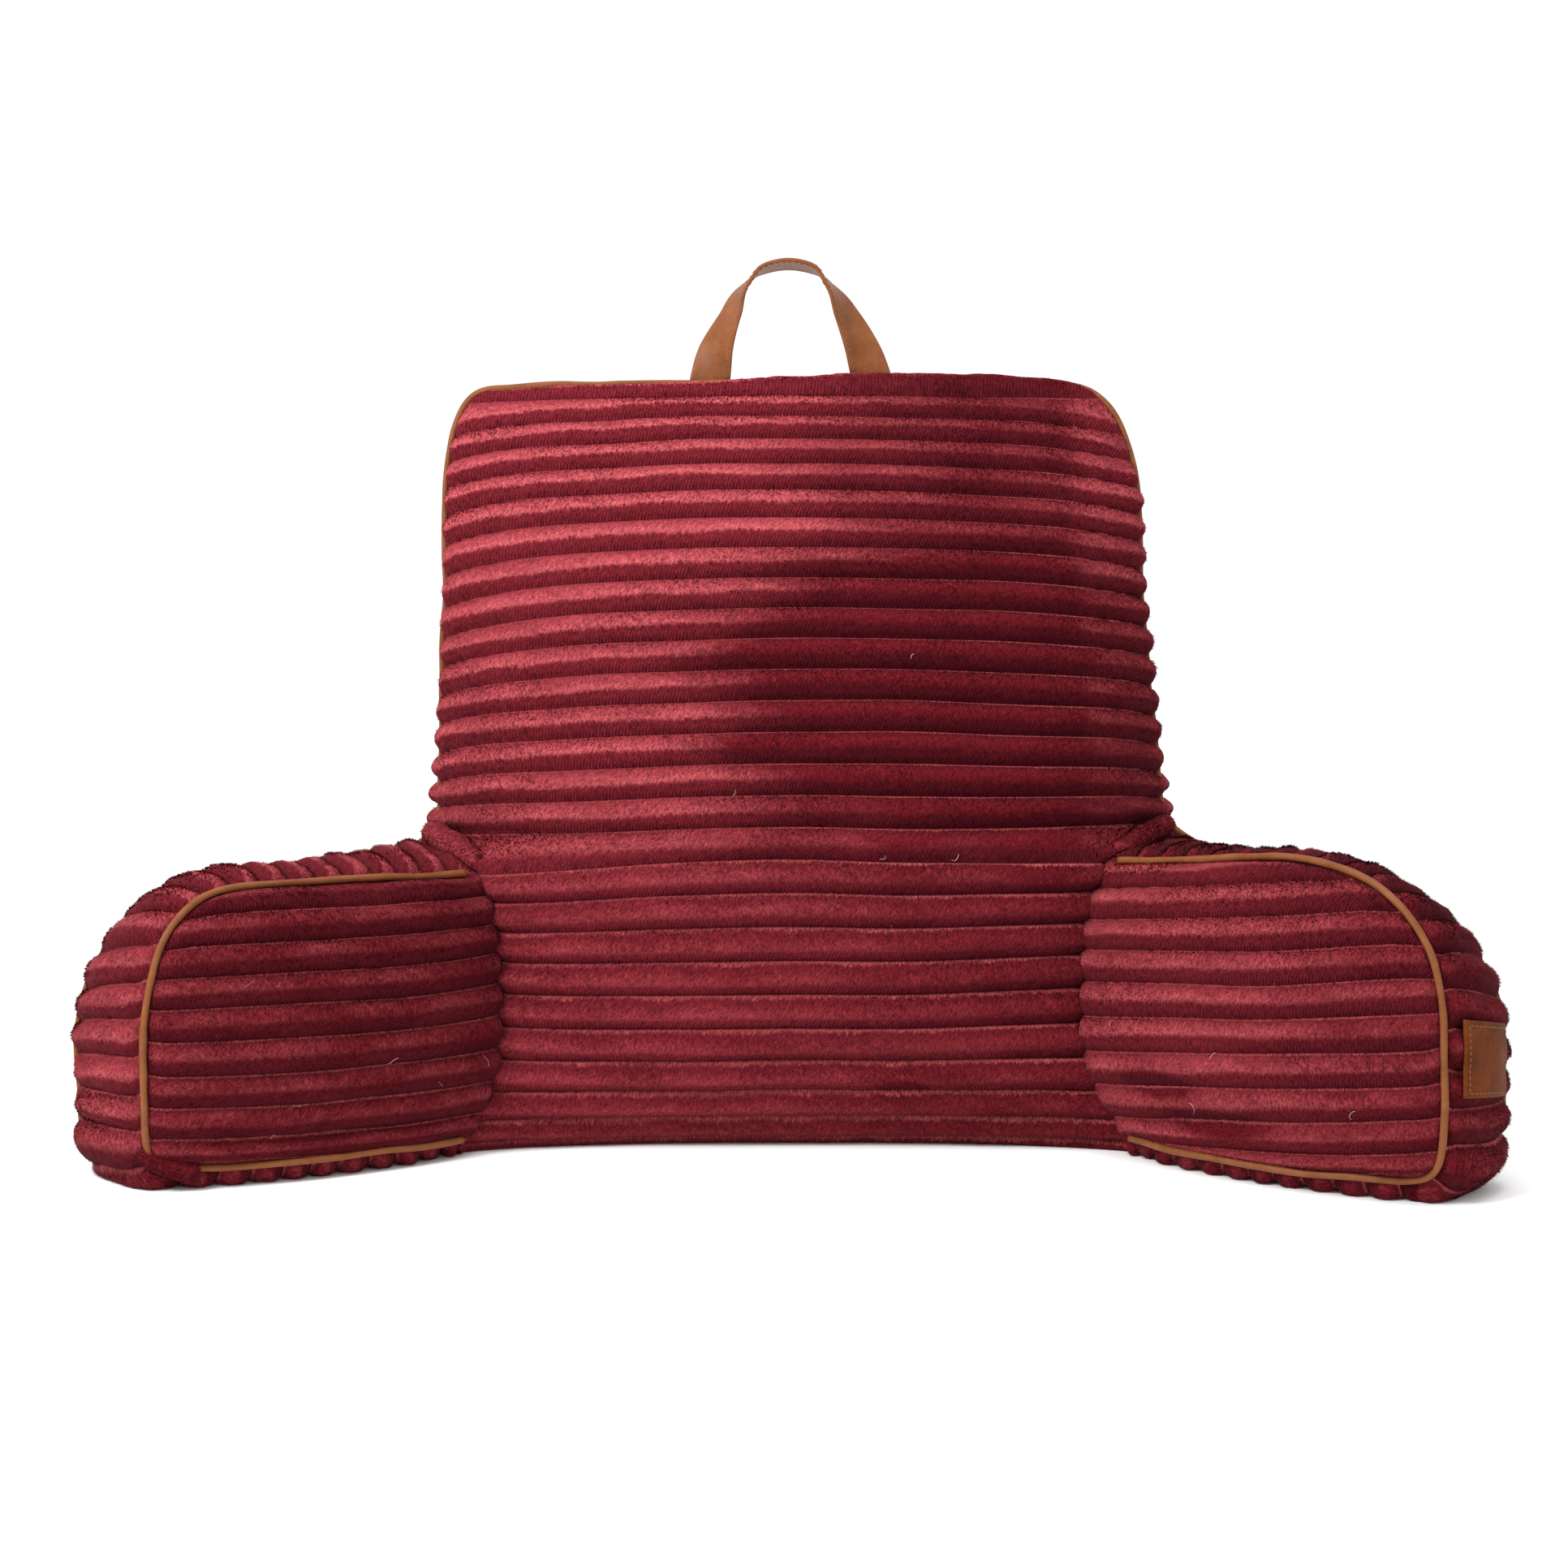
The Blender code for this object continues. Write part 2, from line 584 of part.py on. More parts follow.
def fill_between(mesh, first, second):
    """Triangles between two lines of vertices that run the same way and may share their ends."""
    reach = [arc_lengths(np.array([v.co for v in line])) for line in (first, second)]
    reach = [lengths / lengths[-1] for lengths in reach]
    i, j = 0, 0
    while i < len(first) - 1 or j < len(second) - 1:
        step_first = j == len(second) - 1 or (i < len(first) - 1 and reach[0][i + 1] <= reach[1][j + 1])
        corners = (first[i], second[j], first[i + 1] if step_first else second[j + 1])
        if len(set(corners)) == 3:
            mesh.faces.new(corners)
        if step_first:
            i += 1
        else:
            j += 1


def finish_mesh(mesh, name, material, smooth_angle=None):
    """An object from a closed mesh, its faces turned outward."""
    bmesh.ops.recalc_face_normals(mesh, faces=mesh.faces)
    data = bpy.data.meshes.new(name)
    mesh.to_mesh(data)
    mesh.free()
    data.shade_smooth()
    if smooth_angle is not None:
        data.set_sharp_from_angle(angle=smooth_angle)
    data.materials.append(material)
    piece = bpy.data.objects.new(name, data)
    bpy.context.scene.collection.objects.link(piece)
    return piece


def make_backrest(material):
    """The filled back: front and back panel, the seat of the piping, the arms' roots, a flat base."""
    front, back = backrest_grids()
    mesh = bmesh.new()
    front_verts = add_grid(mesh, front)
    back_verts = add_grid(mesh, back)
    fill_grid(mesh, front_verts)
    fill_grid(mesh, back_verts)
    for index in (0, -1):
        fill_grid(mesh, [[a[index], b[index]] for a, b in zip(front_verts, back_verts)])
    fill_grid(mesh, [front_verts[0], back_verts[0]])
    mesh.faces.new(front_verts[-1] + back_verts[-1][::-1])
    return finish_mesh(mesh, "backrest", material)


def make_arm(side, material):
    """A filled arm: inner and outer panel, the gusset strip round them and a closed root."""
    along = arm_frame(side)[1]
    inner_points = arm_panel_points(side, False)
    outer_points = arm_panel_points(side, True)
    strip_points = gusset_points(side)
    for points in (inner_points, outer_points):
        points[:, 0] += along * ROOT_GAP
    strip_points[[0, -1]] += along * ROOT_GAP
    mesh = bmesh.new()
    inner = add_grid(mesh, inner_points)
    outer = add_grid(mesh, outer_points)
    strip = add_grid(mesh, strip_points)
    for panel, column_index in ((inner, 0), (outer, -1)):
        for row_index in (0, -1):
            mesh.verts.remove(strip[row_index][column_index])
            strip[row_index][column_index] = panel[row_index][0]
    for panel, column_index in ((inner, 0), (outer, -1)):
        fill_grid(mesh, panel)
        outline = panel[0] + [row[-1] for row in panel[1:-1]] + panel[-1][::-1]
        fill_between(mesh, outline, [row[column_index] for row in strip])
    fill_grid(mesh, strip)
    inner_root = strip[0][:0:-1] + [row[0] for row in inner]
    outer_root = [row[0] for row in outer]
    mesh.faces.new((inner_root[0], inner_root[1], outer_root[1]))
    fill_grid(mesh, list(zip(inner_root[1:], outer_root[1:])))
    mesh.faces.new([inner_root[-1]] + strip[-1][1:-1] + [outer_root[-1]])
    return finish_mesh(mesh, "arm_" + side, material)


def make_tube(name, points, material):
    """A length of piping as a curve with a round section."""
    curve = bpy.data.curves.new(name, "CURVE")
    curve.dimensions = "3D"
    curve.bevel_depth = PIPING_RADIUS
    curve.bevel_resolution = (PIPING_SIDES - 4) // 2
    curve.use_fill_caps = True
    spline = curve.splines.new("POLY")
    spline.points.add(len(points) - 1)
    for spot, point in zip(spline.points, points):
        spot.co = (*point, 1)
    curve.materials.append(material)
    piece = bpy.data.objects.new(name, curve)
    bpy.context.scene.collection.objects.link(piece)
    return piece


def thin_out(points, step):
    """Fewer points of a line: a step apart where it is straight, closer where it bends."""
    kept = [points[0]]
    travelled = 0.0
    turned = 0.0
    for k in range(1, len(points) - 1):
        before = points[k] - points[k - 1]
        after = points[k + 1] - points[k]
        travelled += np.linalg.norm(before)
        turned += np.linalg.norm(unit(after) - unit(before))
        rest = np.linalg.norm(points[-1] - points[k])
        shortest = PIPING_SHORT * step
        bends = turned >= PIPING_TURN and travelled > shortest
        if rest > shortest and (travelled >= step or bends):
            kept.append(points[k])
            travelled = 0.0
            turned = 0.0
    kept.append(points[-1])
    return np.array(kept)


def arm_piping_line(side, outer):
    """The middle of the piping on an arm's inner or outer seam, from the top to the base."""
    outward = arm_frame(side)[2] * (-1 if outer else 1)
    length = gusset_length(side)
    distances = np.linspace(PIPING_START, length - PIPING_START, PIPING_POINTS)
    seam = gusset_lines(side, distances)[1 if outer else 0]
    into = inward(side, seam)
    out = -unit(into + outward)
    line = seam + SEAT * 0.5 * (into + outward) + out * (PIPING_RADIUS + PIPING_GAP)
    for _ in range(PIPING_EASE):
        line[1:-1] = 0.5 * line[1:-1] + 0.25 * (line[:-2] + line[2:])
    line[:, 2] = np.maximum(line[:, 2], PIPING_RADIUS + FLOOR_GAP)
    return line


def backrest_piping_line():
    """The middle of the outer piping up one side of the backrest, over its top and down the other."""
    line = []
    for side in ("left", "right"):
        edge = np.array([front_edge(side, row) for row in range(junction_row(side) - 1)])
        line.append(edge[::-1] if side == "left" else edge)
    top = backrest_panel(True)[0, 1:-1]
    line = np.concatenate([line[0], top, line[1]])
    tangents = unit(np.gradient(line, axis=0))
    out = unit(np.cross(tangents, np.array([0.0, -1.0, 0.0])))
    out *= np.sign(out @ np.array([0, 0, 1.0]) + out[:, 0] * np.sign(line[:, 0]))[:, None]
    return line + out * (PIPING_RADIUS + PIPING_GAP)


def make_pipings(material):
    """The outer piping in one length, and a length round each arm's inner panel."""
    left = arm_piping_line("left", True)[::-1]
    right = arm_piping_line("right", True)
    outer = np.concatenate([left, backrest_piping_line(), right])
    make_tube("piping_outer", thin_out(outer, PIPING_STEP), material)
    for side in SIDES:
        make_tube("piping_arm_" + side, thin_out(arm_piping_line(side, False), PIPING_STEP), material)


def strap_section(center, wide, thick):
    """Eight corners of a strap's section, its edges cut slantwise."""
    half_width = 0.5 * HANDLE_WIDTH
    half_thickness = 0.5 * HANDLE_THICKNESS
    cut = 0.5 * half_thickness
    corners = ((1, 0.5), (1, -0.5), (-1, -0.5), (-1, 0.5))
    points = []
    for a, b in corners:
        side_point = center + wide * a * half_width + thick * b * half_thickness
        face_point = center + wide * a * (half_width - cut) + thick * 2 * b * half_thickness
        pair = (face_point, side_point) if a * b > 0 else (side_point, face_point)
        points.extend(pair)
    return points


def make_handle(material):
    """The strap handle: it stands up from the top seam and turns half round on its way over."""
    shares = np.linspace(0, 1, HANDLE_STEPS + 1)
    keys = column(HANDLE, HANDLE_NAMES, "f")
    line = np.stack([smooth(shares, keys, column(HANDLE, HANDLE_NAMES, axis)) for axis in "xyz"], -1)
    turns = np.radians(smooth(shares, keys, column(HANDLE, HANDLE_NAMES, "turn")))
    tangents = unit(np.gradient(line, axis=0))
    tangents[0] = (0, 0, 1)
    tangents[-1] = (0, 0, -1)
    mesh = bmesh.new()
    rings = []
    for center, tangent, turn in zip(line, tangents, turns):
        wide = np.array([-np.cos(turn), np.sin(turn), HANDLE_TILT * np.sin(turn)])
        wide = unit(wide - tangent * (wide @ tangent))
        thick = np.cross(wide, tangent)
        rings.append([mesh.verts.new(point) for point in strap_section(center, wide, thick)])
    for first, second in zip(rings, rings[1:]):
        for k in range(len(first)):
            n = (k + 1) % len(first)
            mesh.faces.new((first[k], first[n], second[n], second[k]))
    mesh.faces.new(rings[0])
    mesh.faces.new(rings[-1])
    return finish_mesh(mesh, "handle", material, smooth_angle=SHARP_ANGLE)


def make_label(material):
    """The patch on the right arm's gusset strip, bent round the strip's crown."""
    side = "right"
    length = gusset_length(side)
    dense = np.linspace(0, length, LABEL_SAMPLES)
    seam = gusset_lines(side, dense)[0]
    at_tip = np.abs(inward(side, seam)[:, 2]) < TIP_FACING
    low, high = (dense[at_tip][np.argmin(np.abs(seam[at_tip][:, 2] - z))] for z in LABEL_ALONG)
    distances = np.linspace(high, low, LABEL_CELLS[0] + 1)
    across = np.linspace(*LABEL_ACROSS, LABEL_CELLS[1] + 1)
    grid = gusset_grid(side, distances, across)
    normals = grid_normals(grid)
    normals *= np.sign(normals @ arm_frame(side)[1])[:, :, None]
    crest = RIB_RELIEF * (1 - RIB_BASE)
    mesh = bmesh.new()
    under = add_grid(mesh, grid + normals * (crest + LABEL_GAP))
    upper = add_grid(mesh, grid + normals * (crest + LABEL_GAP + LABEL_THICKNESS))
    fill_grid(mesh, under)
    fill_grid(mesh, upper)
    for index in (0, -1):
        fill_grid(mesh, [under[index], upper[index]])
        fill_grid(mesh, [[a[index], b[index]] for a, b in zip(under, upper)])
    return finish_mesh(mesh, "label", material, smooth_angle=SHARP_ANGLE)


def make_material(name, colour, roughness):
    """A plain material with its colour, as linear red, green and blue."""
    material = bpy.data.materials.new(name)
    material.use_nodes = True
    shader = material.node_tree.nodes["Principled BSDF"]
    shader.inputs["Base Color"].default_value = (*colour, 1)
    shader.inputs["Roughness"].default_value = roughness
    shader.inputs["Metallic"].default_value = 0.0
    return material


def main():
    for piece in list(bpy.data.objects):
        bpy.data.objects.remove(piece)
    plush = make_material("plush", PLUSH_RED, 0.9)
    leather = make_material("leather", LEATHER_TAN, 0.5)
    make_backrest(plush)
    for side in SIDES:
        make_arm(side, plush)
    make_pipings(leather)
    make_handle(leather)
    make_label(leather)


main()
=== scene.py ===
"""Looks of the backrest pillow: filled wide-rib plush, leather piping, a strap handle and a patch.

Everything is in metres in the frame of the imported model: +Z up, the front faces -Y.
"""

from math import pi, radians

import bmesh
import bpy
import numpy as np
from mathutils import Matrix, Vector


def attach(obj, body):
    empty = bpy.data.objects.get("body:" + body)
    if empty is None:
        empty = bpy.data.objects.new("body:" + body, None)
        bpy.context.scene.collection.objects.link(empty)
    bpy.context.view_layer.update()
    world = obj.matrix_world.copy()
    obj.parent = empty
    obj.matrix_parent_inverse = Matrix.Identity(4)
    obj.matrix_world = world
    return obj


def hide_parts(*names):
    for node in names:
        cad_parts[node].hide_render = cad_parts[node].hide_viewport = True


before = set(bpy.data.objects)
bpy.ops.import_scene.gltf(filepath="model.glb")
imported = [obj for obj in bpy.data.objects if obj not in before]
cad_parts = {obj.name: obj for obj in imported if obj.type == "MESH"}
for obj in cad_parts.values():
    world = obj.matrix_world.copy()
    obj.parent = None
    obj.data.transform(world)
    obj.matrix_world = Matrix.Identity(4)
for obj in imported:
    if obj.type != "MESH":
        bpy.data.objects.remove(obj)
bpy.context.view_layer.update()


def named_columns(names, rows):
    """A table's columns by name."""
    return dict(zip(names.split(), np.array(rows, float).T))


# Cloth
RIB_PITCH = 0.022            # groove to groove, measured along the cloth
RIB_RELIEF = 0.0062          # a crest's height over its grooves
RIB_BASE = 0.62              # share of the relief that lies under the cushion's mean surface
FIRST_GROOVE = 0.010         # from the top seam to the first groove
ROW_STEP = RIB_PITCH / 4     # rows of points on a panel
SEAM_FADE = 0.016            # the ribs flatten out over this distance from a seam
SHORTEST_ROW = 0.3           # the last row is at least this share of a row's step

# Seams and piping
SEAT = 0.0030                # a seam's edge is cut back this far on both sides, as a seat for the piping
SEAT_RAMP = 0.040            # the backrest thickens by its seat over this distance above the arms
THIN_EDGE = 0.030            # the ribs grow to their full height where the cushion is this thick
PIPING_RADIUS = 0.0024
PIPING_GAP = -0.0004         # the piping sinks a little into the pile
PIPING_POINTS = 160          # points along an arm's seam, before it is divided evenly
PIPING_EASE = 4              # times that a piping's line is evened out
PIPING_START = 0.012         # an arm's piping starts this far from the front panel
FLOOR_GAP = 0.002            # between the piping and the floor
ARM_BASE_SEAM = 0.0134       # height of an arm's lower seams where they leave the backrest

# Backrest: a section at each distance down the cloth from the top seam
BASE_T = 0.5665              # the cloth's length from the top seam to the floor
SECTIONS = named_columns("t front_y front_z back_y back_z left_z right_z", (
    (0.000, 0.0400, 0.5030, 0.040, 0.503, 0.4985, 0.5015),
    (0.032, 0.0160, 0.4830, 0.067, 0.489, 0.4740, 0.4760),
    (0.098, -0.0240, 0.4335, 0.100, 0.436, 0.4200, 0.4210),
    (0.186, -0.0665, 0.3560, 0.121, 0.352, 0.3380, 0.3440),
    (0.274, -0.1000, 0.2750, 0.129, 0.267, 0.2570, 0.2640),
    (0.362, -0.1280, 0.1920, 0.131, 0.183, 0.1795, 0.1880),
    (0.450, -0.1444, 0.1050, 0.131, 0.100, 0.1030, 0.1060),
    (0.494, -0.1465, 0.0610, 0.129, 0.058, 0.0610, 0.0620),
    (0.538, -0.1320, 0.0204, 0.122, 0.019, 0.0210, 0.0210),
    (0.5665, -0.1140, 0.0000, 0.112, 0.000, 0.0000, 0.0000),
))
FRONT_ROUND = (2.6, 0.62)    # the crown across the front: (1 - |s|**a)**b
BACK_ROUND = (2.4, 0.66)
WAIST_ROUND = 0.95           # the back's exponent below the arms' tops, where it runs on into them
WAIST_ROWS = 8               # rows over which it changes to that

# The seam round the front panel, on each side: above the arm it is the piped outer seam,
# below it is the seam that joins the arm's inner panel
LEFT_SEAM = named_columns("z x y", (
    (0.000, -0.218, -0.150),
    (0.020, -0.206, -0.148),
    (0.053, -0.195, -0.136),
    (0.083, -0.193, -0.125),
    (0.114, -0.193, -0.115),
    (0.145, -0.197, -0.108),
    (0.172, -0.203, -0.103),
))
RIGHT_SEAM = named_columns("z x y", (
    (0.000, 0.226, -0.150),
    (0.023, 0.2125, -0.147),
    (0.043, 0.200, -0.140),
    (0.063, 0.194, -0.133),
    (0.114, 0.193, -0.115),
    (0.151, 0.196, -0.107),
    (0.174, 0.202, -0.103),
))
UPPER_SEAM = named_columns("z y", (
    (0.200, -0.012),
    (0.260, -0.006),
    (0.330, 0.004),
    (0.400, 0.018),
    (0.463, 0.031),
    (0.505, 0.040),
))
JUNCTION_ROWS = 4            # rows between an arm's top inner corner and the outer seam
CORNER_POWER = 2.0
FLARE_Z = (0.20, 0.36)       # the backrest's sides flare out a little between these heights
BACK_SWELL = 0.018           # how far the outer surface stands out below the outer seam
BACK_SWELL_TURN = 0.75       # the share of a half wave that this swell runs through down to the floor

SIDES = {
    "left": dict(
        sign=-1, seam=LEFT_SEAM, side_x=0.2370, low_x=0.2410, corner=(0.026, 0.070),
        corner_z=0.1805, top_corner=(0.2085, 0.101), tip=(0.4017, 0.2636), thickness=0.088,
        top_z=0.187, tip_z=0.080, round_u=0.080, outer_reach=-0.002, outer_top=-0.018,
        corner_radius=0.018, inner_swell=0.030, base_swell=0.022, crown=0.012, top_crown=0.013),
    "right": dict(
        sign=1, seam=RIGHT_SEAM, side_x=0.2390, low_x=0.2540, corner=(0.045, 0.085),
        corner_z=0.1880, top_corner=(0.2085, 0.101), tip=(0.3968, 0.3035), thickness=0.088,
        top_z=0.2045, tip_z=0.090, round_u=0.128, outer_reach=-0.020, outer_top=-0.026,
        corner_radius=0.022, inner_swell=0.030, base_swell=0.024, crown=0.014, top_crown=0.008),
}
GUSSET_COLUMNS = 4
OUTER_SWELL = 0.012          # beyond the swell of the backrest's side that it runs on from
OUTER_BASE = 0.4
OUTER_DROP = 3               # the outer panel's top falls quickly from the junction, then runs level
SWELL_ROUND = (2.5, 0.6)     # an arm panel's fullness from its top to its base
SWELL_ALONG = 0.6            # and along it, as the exponent of a half wave
OUTLINE_POINTS = 120
TURN_SPLIT = 0.35            # where an arm panel's far upper corner lies on the round of its outline
STRIP_ROUND = 0.7            # the gusset strip's crown across it, as the exponent of a half wave
ROOT_BLEND = 0.050           # the gusset strip takes its own form over this distance from its ends
SEAT_FADE = 0.008            # the seat closes up over this distance from the roots
SEAT_RUN = 0.014             # an arm panel's points this far from the seam stay where they are
INNER_POWER = 2.6            # the superellipse of the round top corner of an arm's inner panel
OUTER_POWER = 2.0            # and of its outer panel
BASE_SQUEEZE = 0.42          # below, the strip turns under close to its seams
BASE_CROWN = 0.020           # the lower gusset's sag, cut flat by the floor

# Handle
HANDLE = named_columns("share x y z turn", (
    (0.00, -0.0570, 0.0455, 0.5040, 0),
    (0.14, -0.0521, 0.0468, 0.5280, 31),
    (0.27, -0.0427, 0.0485, 0.5503, 53),
    (0.40, -0.0310, 0.0495, 0.5727, 73),
    (0.45, -0.0205, 0.0500, 0.5825, 84),
    (0.50, -0.0020, 0.0500, 0.5865, 90),
    (0.55, 0.0165, 0.0500, 0.5825, 96),
    (0.60, 0.0262, 0.0495, 0.5722, 109),
    (0.73, 0.0393, 0.0485, 0.5503, 134),
    (0.86, 0.0496, 0.0468, 0.5280, 153),
    (1.00, 0.0570, 0.0455, 0.5040, 180),
))
HANDLE_WIDTH = 0.028
HANDLE_THICKNESS = 0.0026
HANDLE_TILT = -0.2           # at the top the front edge is the higher one

# Label
LABEL_ALONG = (0.069, 0.118)  # from this height to this height, up the gusset strip
LABEL_ACROSS = (0.10, 0.62)   # shares of the strip's width
LABEL_THICKNESS = 0.0018
LABEL_GAP = 0.0007
LABEL_SAMPLES = 600          # points looked through for the label's place on the seam
TIP_FACING = 0.6             # the arm's tip is where the strip's seam is steeper than this

# Finer cloth than the solids have
FINE_STEP = RIB_PITCH / 12   # rows of points on a panel
FRONT_POINTS = 190           # columns of the backrest's front and back
BACK_POINTS = 110
DENSE_POINTS = 320           # columns before they are evened out along the cloth
ARM_POINTS = 110             # columns of an arm's panels
STRIP_POINTS = 36            # columns of a gusset strip
ROOT_CLEARANCE = 0.0004      # between an arm's root and the backrest
ARM_STEP = RIB_PITCH / 20
FLOOR_CLEARANCE = 0.0006
RIB_ROUNDING = 0.009         # the ribs' ends round off over this distance from a seam
WOBBLE = 0.0011              # how far the grooves wander from their lines
CLUMP = 0.00045              # unevenness of the pile
DENT = 0.0013                # soft dents in the filling
ARM_WOBBLE = 0.0016
STRIP_FULLNESS = 1.35        # the gusset's ribs are this much higher than the panels'
ARM_SHIFT = dict(left=0.0065, right=0.0035)   # the arm's ribs lie higher than the backrest's
ARM_RISE = dict(left=0.008, right=0.034)      # and rise toward the arm's tip
LOBE = dict(left=0.0048, right=0.0072)        # the rib's ends bulge over the seam
LOBE_WIDTH = 0.007
LOBE_TOP = dict(left=0.50, right=0.455)       # up to this height
LOBE_LEAST = 0.15            # the least share of the bulge, at its top
TOP_LOBES = named_columns("x height", (   # the pile over the top seam
    (-0.210, 0.0010),
    (-0.170, 0.0020),
    (-0.060, 0.0026),
    (-0.035, 0.0040),
    (0.190, 0.0040),
    (0.215, 0.0006),
))
BACK_LOBES = named_columns("z reach", (   # the back panel's bulge
    (0.15, 0.015),
    (0.20, 0.013),
    (0.27, 0.007),
    (0.36, 0.003),
    (0.44, 0.000),
))
EDGE_DROP = 0.010            # the ribs turn down this far beside the backrest's sides
EDGE_DROP_WIDTH = 0.025
EDGE_DROP_Z = (0.17, 0.24)   # but not below the arms' tops
STRIP_ENDS = 0.3             # the least share of the ribs' height at a strip's ends

# Unevenness: how far the grooves wander, fine and coarse clumps of pile, and the sizes of each
CLUMP_CELLS = (0.0045, 0.0035)
UNEVEN = {
    "backrest": dict(wobble=WOBBLE, wander_cells=(0.075, 0.09), fine=CLUMP, coarse=2 * CLUMP,
                     coarse_cells=(0.021, 0.011), dent_cells=(0.065, 0.05)),
    "arm": dict(wobble=ARM_WOBBLE, wander_cells=(0.085, 0.05), fine=CLUMP, coarse=2.5 * CLUMP,
                coarse_cells=(0.021, 0.011), dent_cells=(0.05, 0.04)),
    "strip": dict(wobble=1.6 * ARM_WOBBLE, wander_cells=(0.05, 0.04), fine=1.5 * CLUMP, coarse=3 * CLUMP,
                  coarse_cells=(0.018, 0.010), dent_cells=(0.04, 0.05)),
}
NOISE_CELLS = 64             # cells of soft noise before it repeats

# Filling, simulated as cloth under pressure
PAD_STEPS = 20
PAD_PRESSURE = 4.0
PAD_ROW_SKIP = 2
PAD_COLUMNS = 40
PAD_ARM_COLUMNS = 20
PAD_STRIP_ROWS = 60
PAD_STRIP_COLUMNS = 8
PAD_QUALITY = 5
PAD_CAP = 0.0035             # no point moves further than this

# Piping, as sewn by hand
PIPING_PIECE = 0.0030
PIPING_WOBBLE = 0.0009
PIPING_WOBBLE_CELL = 0.033
PIPING_SIDES = 10
PIPING_SWELL = 0.07          # its radius varies by this share
PIPING_SWELL_CELL = 0.012

# How brushed the pile is, partly painted light and shade that differ from panel to panel, and where on a rib
# its bright side ends and the painted shade of its lower flank begins
BRUSHING_AND_PAINTED_LIGHT = {
    "front": (0.47, 0.58),
    "back": (0.60, 0.60),
    "arm_inner": (0.14, 0.55),
    "arm_outer": (0.55, 0.60),
    "strip_left": (0.62, 0.61),
    "strip_right": (0.08, 0.60),
    "plain": (0.50, 0.60),
}
FOLD_EDGE = 0.58

# The front panel's brushing, with painted light and shade in it: regions by height z and place x, and what
# each adds. The upper left is painted lighter, toward the key light, and most of the right darker as shade
UPPER_Z = (0.14, 0.28)
WAIST_Z = (0.33, 0.43)
DARK_X = (-0.090, 0.015)
DARK_LEAN = 0.05             # the dark region starts this much further right above the waist
BORDER = 0.030               # and has a border this ragged
BORDER_CELLS = (0.14, 0.014)
SEAT_X = (-0.10, 0.18)
RIGHT_X = (0.05, 0.14)
RIM_X = (0.180, 0.208)
BRIGHT, WAIST_BRIGHT = 0.56, -0.24
DARK, WAIST_DARK = -0.08, -0.54
SEAT_BRIGHT, SEAT_DARK = 0.16, -0.42
RIGHT_DARK, RIM_BRIGHT = -0.22, 0.56
SEAT_CALM = 0.12             # added to the second value, which makes the seat's ribs calmer

# The arms' brushing, with painted light and shade in it: shares along the arm, heights on the strip, and what
# each adds
RIGHT_ARM = dict(start=0.57, fall=-0.34, shares=(0.35, 0.9))
LEFT_ARM = dict(rise=0.08, shares=(0.5, 1.0))
LEFT_STRIP = dict(dark=-0.45, heights=(0.01, 0.05))

SPOT_DARK = 0.75             # how much darker a spot is brushed
# Dark brushed spots: x, z, half width, half height
FRONT_SPOTS = ((0.073, 0.040, 0.016, 0.008),)
RIGHT_SPOTS = ((0.235, 0.056, 0.022, 0.009), (0.268, 0.036, 0.030, 0.010))

# Pile
BLADE_LENGTH = (0.0014, 0.0030)
BLADE_WIDTH = 0.00062
BLADE_SINK = 0.0003          # a blade's foot lies this far inside the cloth
BLADE_LEAN = 1.1             # sideways lean of neighbouring blades
BLADE_LEAN_CELLS = (2.3, 1.1)
BLADE_JITTER = 0.45          # the spread of the random directions
# How far a blade stands up, hangs down and turns aside, and the random shares of its direction
BLADE_UP, BLADE_DOWN, BLADE_ASIDE = 0.75, 0.55, -0.2
DOWN_JITTER, ALL_JITTER, FACE_JITTER = 0.3, 0.35, 0.3
SHADE_TOWARD, SHADE_JITTER = 0.35, 0.25   # how far a blade's normals follow its direction
CREST_PHASE = 0.62           # the dense part of a rib
GROOVE_PILE = 0.3            # density of the pile in the rest of it
PILE = dict(front=1.0, back=0.35, arm_inner=1.0, arm_outer=0.4, strip=1.3)
BACKREST_BLADES = 190000
ARM_BLADES = 90000

# Rolls of plush over the seams; how brushed each is also holds painted light and shade, like the panel beside
# it
FOLDS = (                    # from, to, radius and how brushed it is
    ((-0.2410, -0.048, 0.1995), (-0.2120, -0.086, 0.1855), 0.0090, 0.55),
    ((0.2530, -0.044, 0.2052), (0.2220, -0.086, 0.1925), 0.0086, 0.12),
    ((-0.4020, -0.2585, 0.0225), (-0.3780, -0.2530, 0.0120), 0.0076, 0.08),
)
FOLD_BLADES = 2500
FOLD_RINGS = 28
FOLD_SIDES = 36
FOLD_BODY = (0.30 * pi, 0.70 * pi)   # the straight part, between the round ends
FOLD_LUMPS = 0.20
FOLD_LUMP_CELLS = (0.5, 0.9)
# Painted light and shade: the roll's upper side takes the light part of a rib, its underside the dark lower
# flank
FOLD_PHASE = (0.42, 0.30)    # the pile's place on a rib, and how it changes round the roll

# Lint
LINT_HAIRS = 6               # on each panel
LINT_RADIUS = 0.00013
LINT_LENGTH = (0.004, 0.009)
LINT_BEND = 1.6              # a hair's whole turn, either way
LINT_TURN = 0.4              # and its turn at the start
LINT_LIFT = 0.0016           # over the cloth
LINT_WAVE = 0.0006
LINT_WAVES = 5
LINT_POINTS = 9
LINT_SIDES = 4
LINT_MARGIN = 0.1            # no hair on this share of a panel along its edges

# Stitches: spacing, length, radius
STRAP_STITCH = (0.0042, 0.0030, 0.00028)
LABEL_STITCH = (0.0036, 0.0026, 0.00026)
STITCH_SIDES = 6
STITCH_PROFILE = (           # share of the length, share of the radius, lift in radii
    (-0.5, 0.35, -0.2),
    (-0.3, 1.00, 0.9),
    (0.3, 1.00, 0.9),
    (0.5, 0.35, -0.2),
)

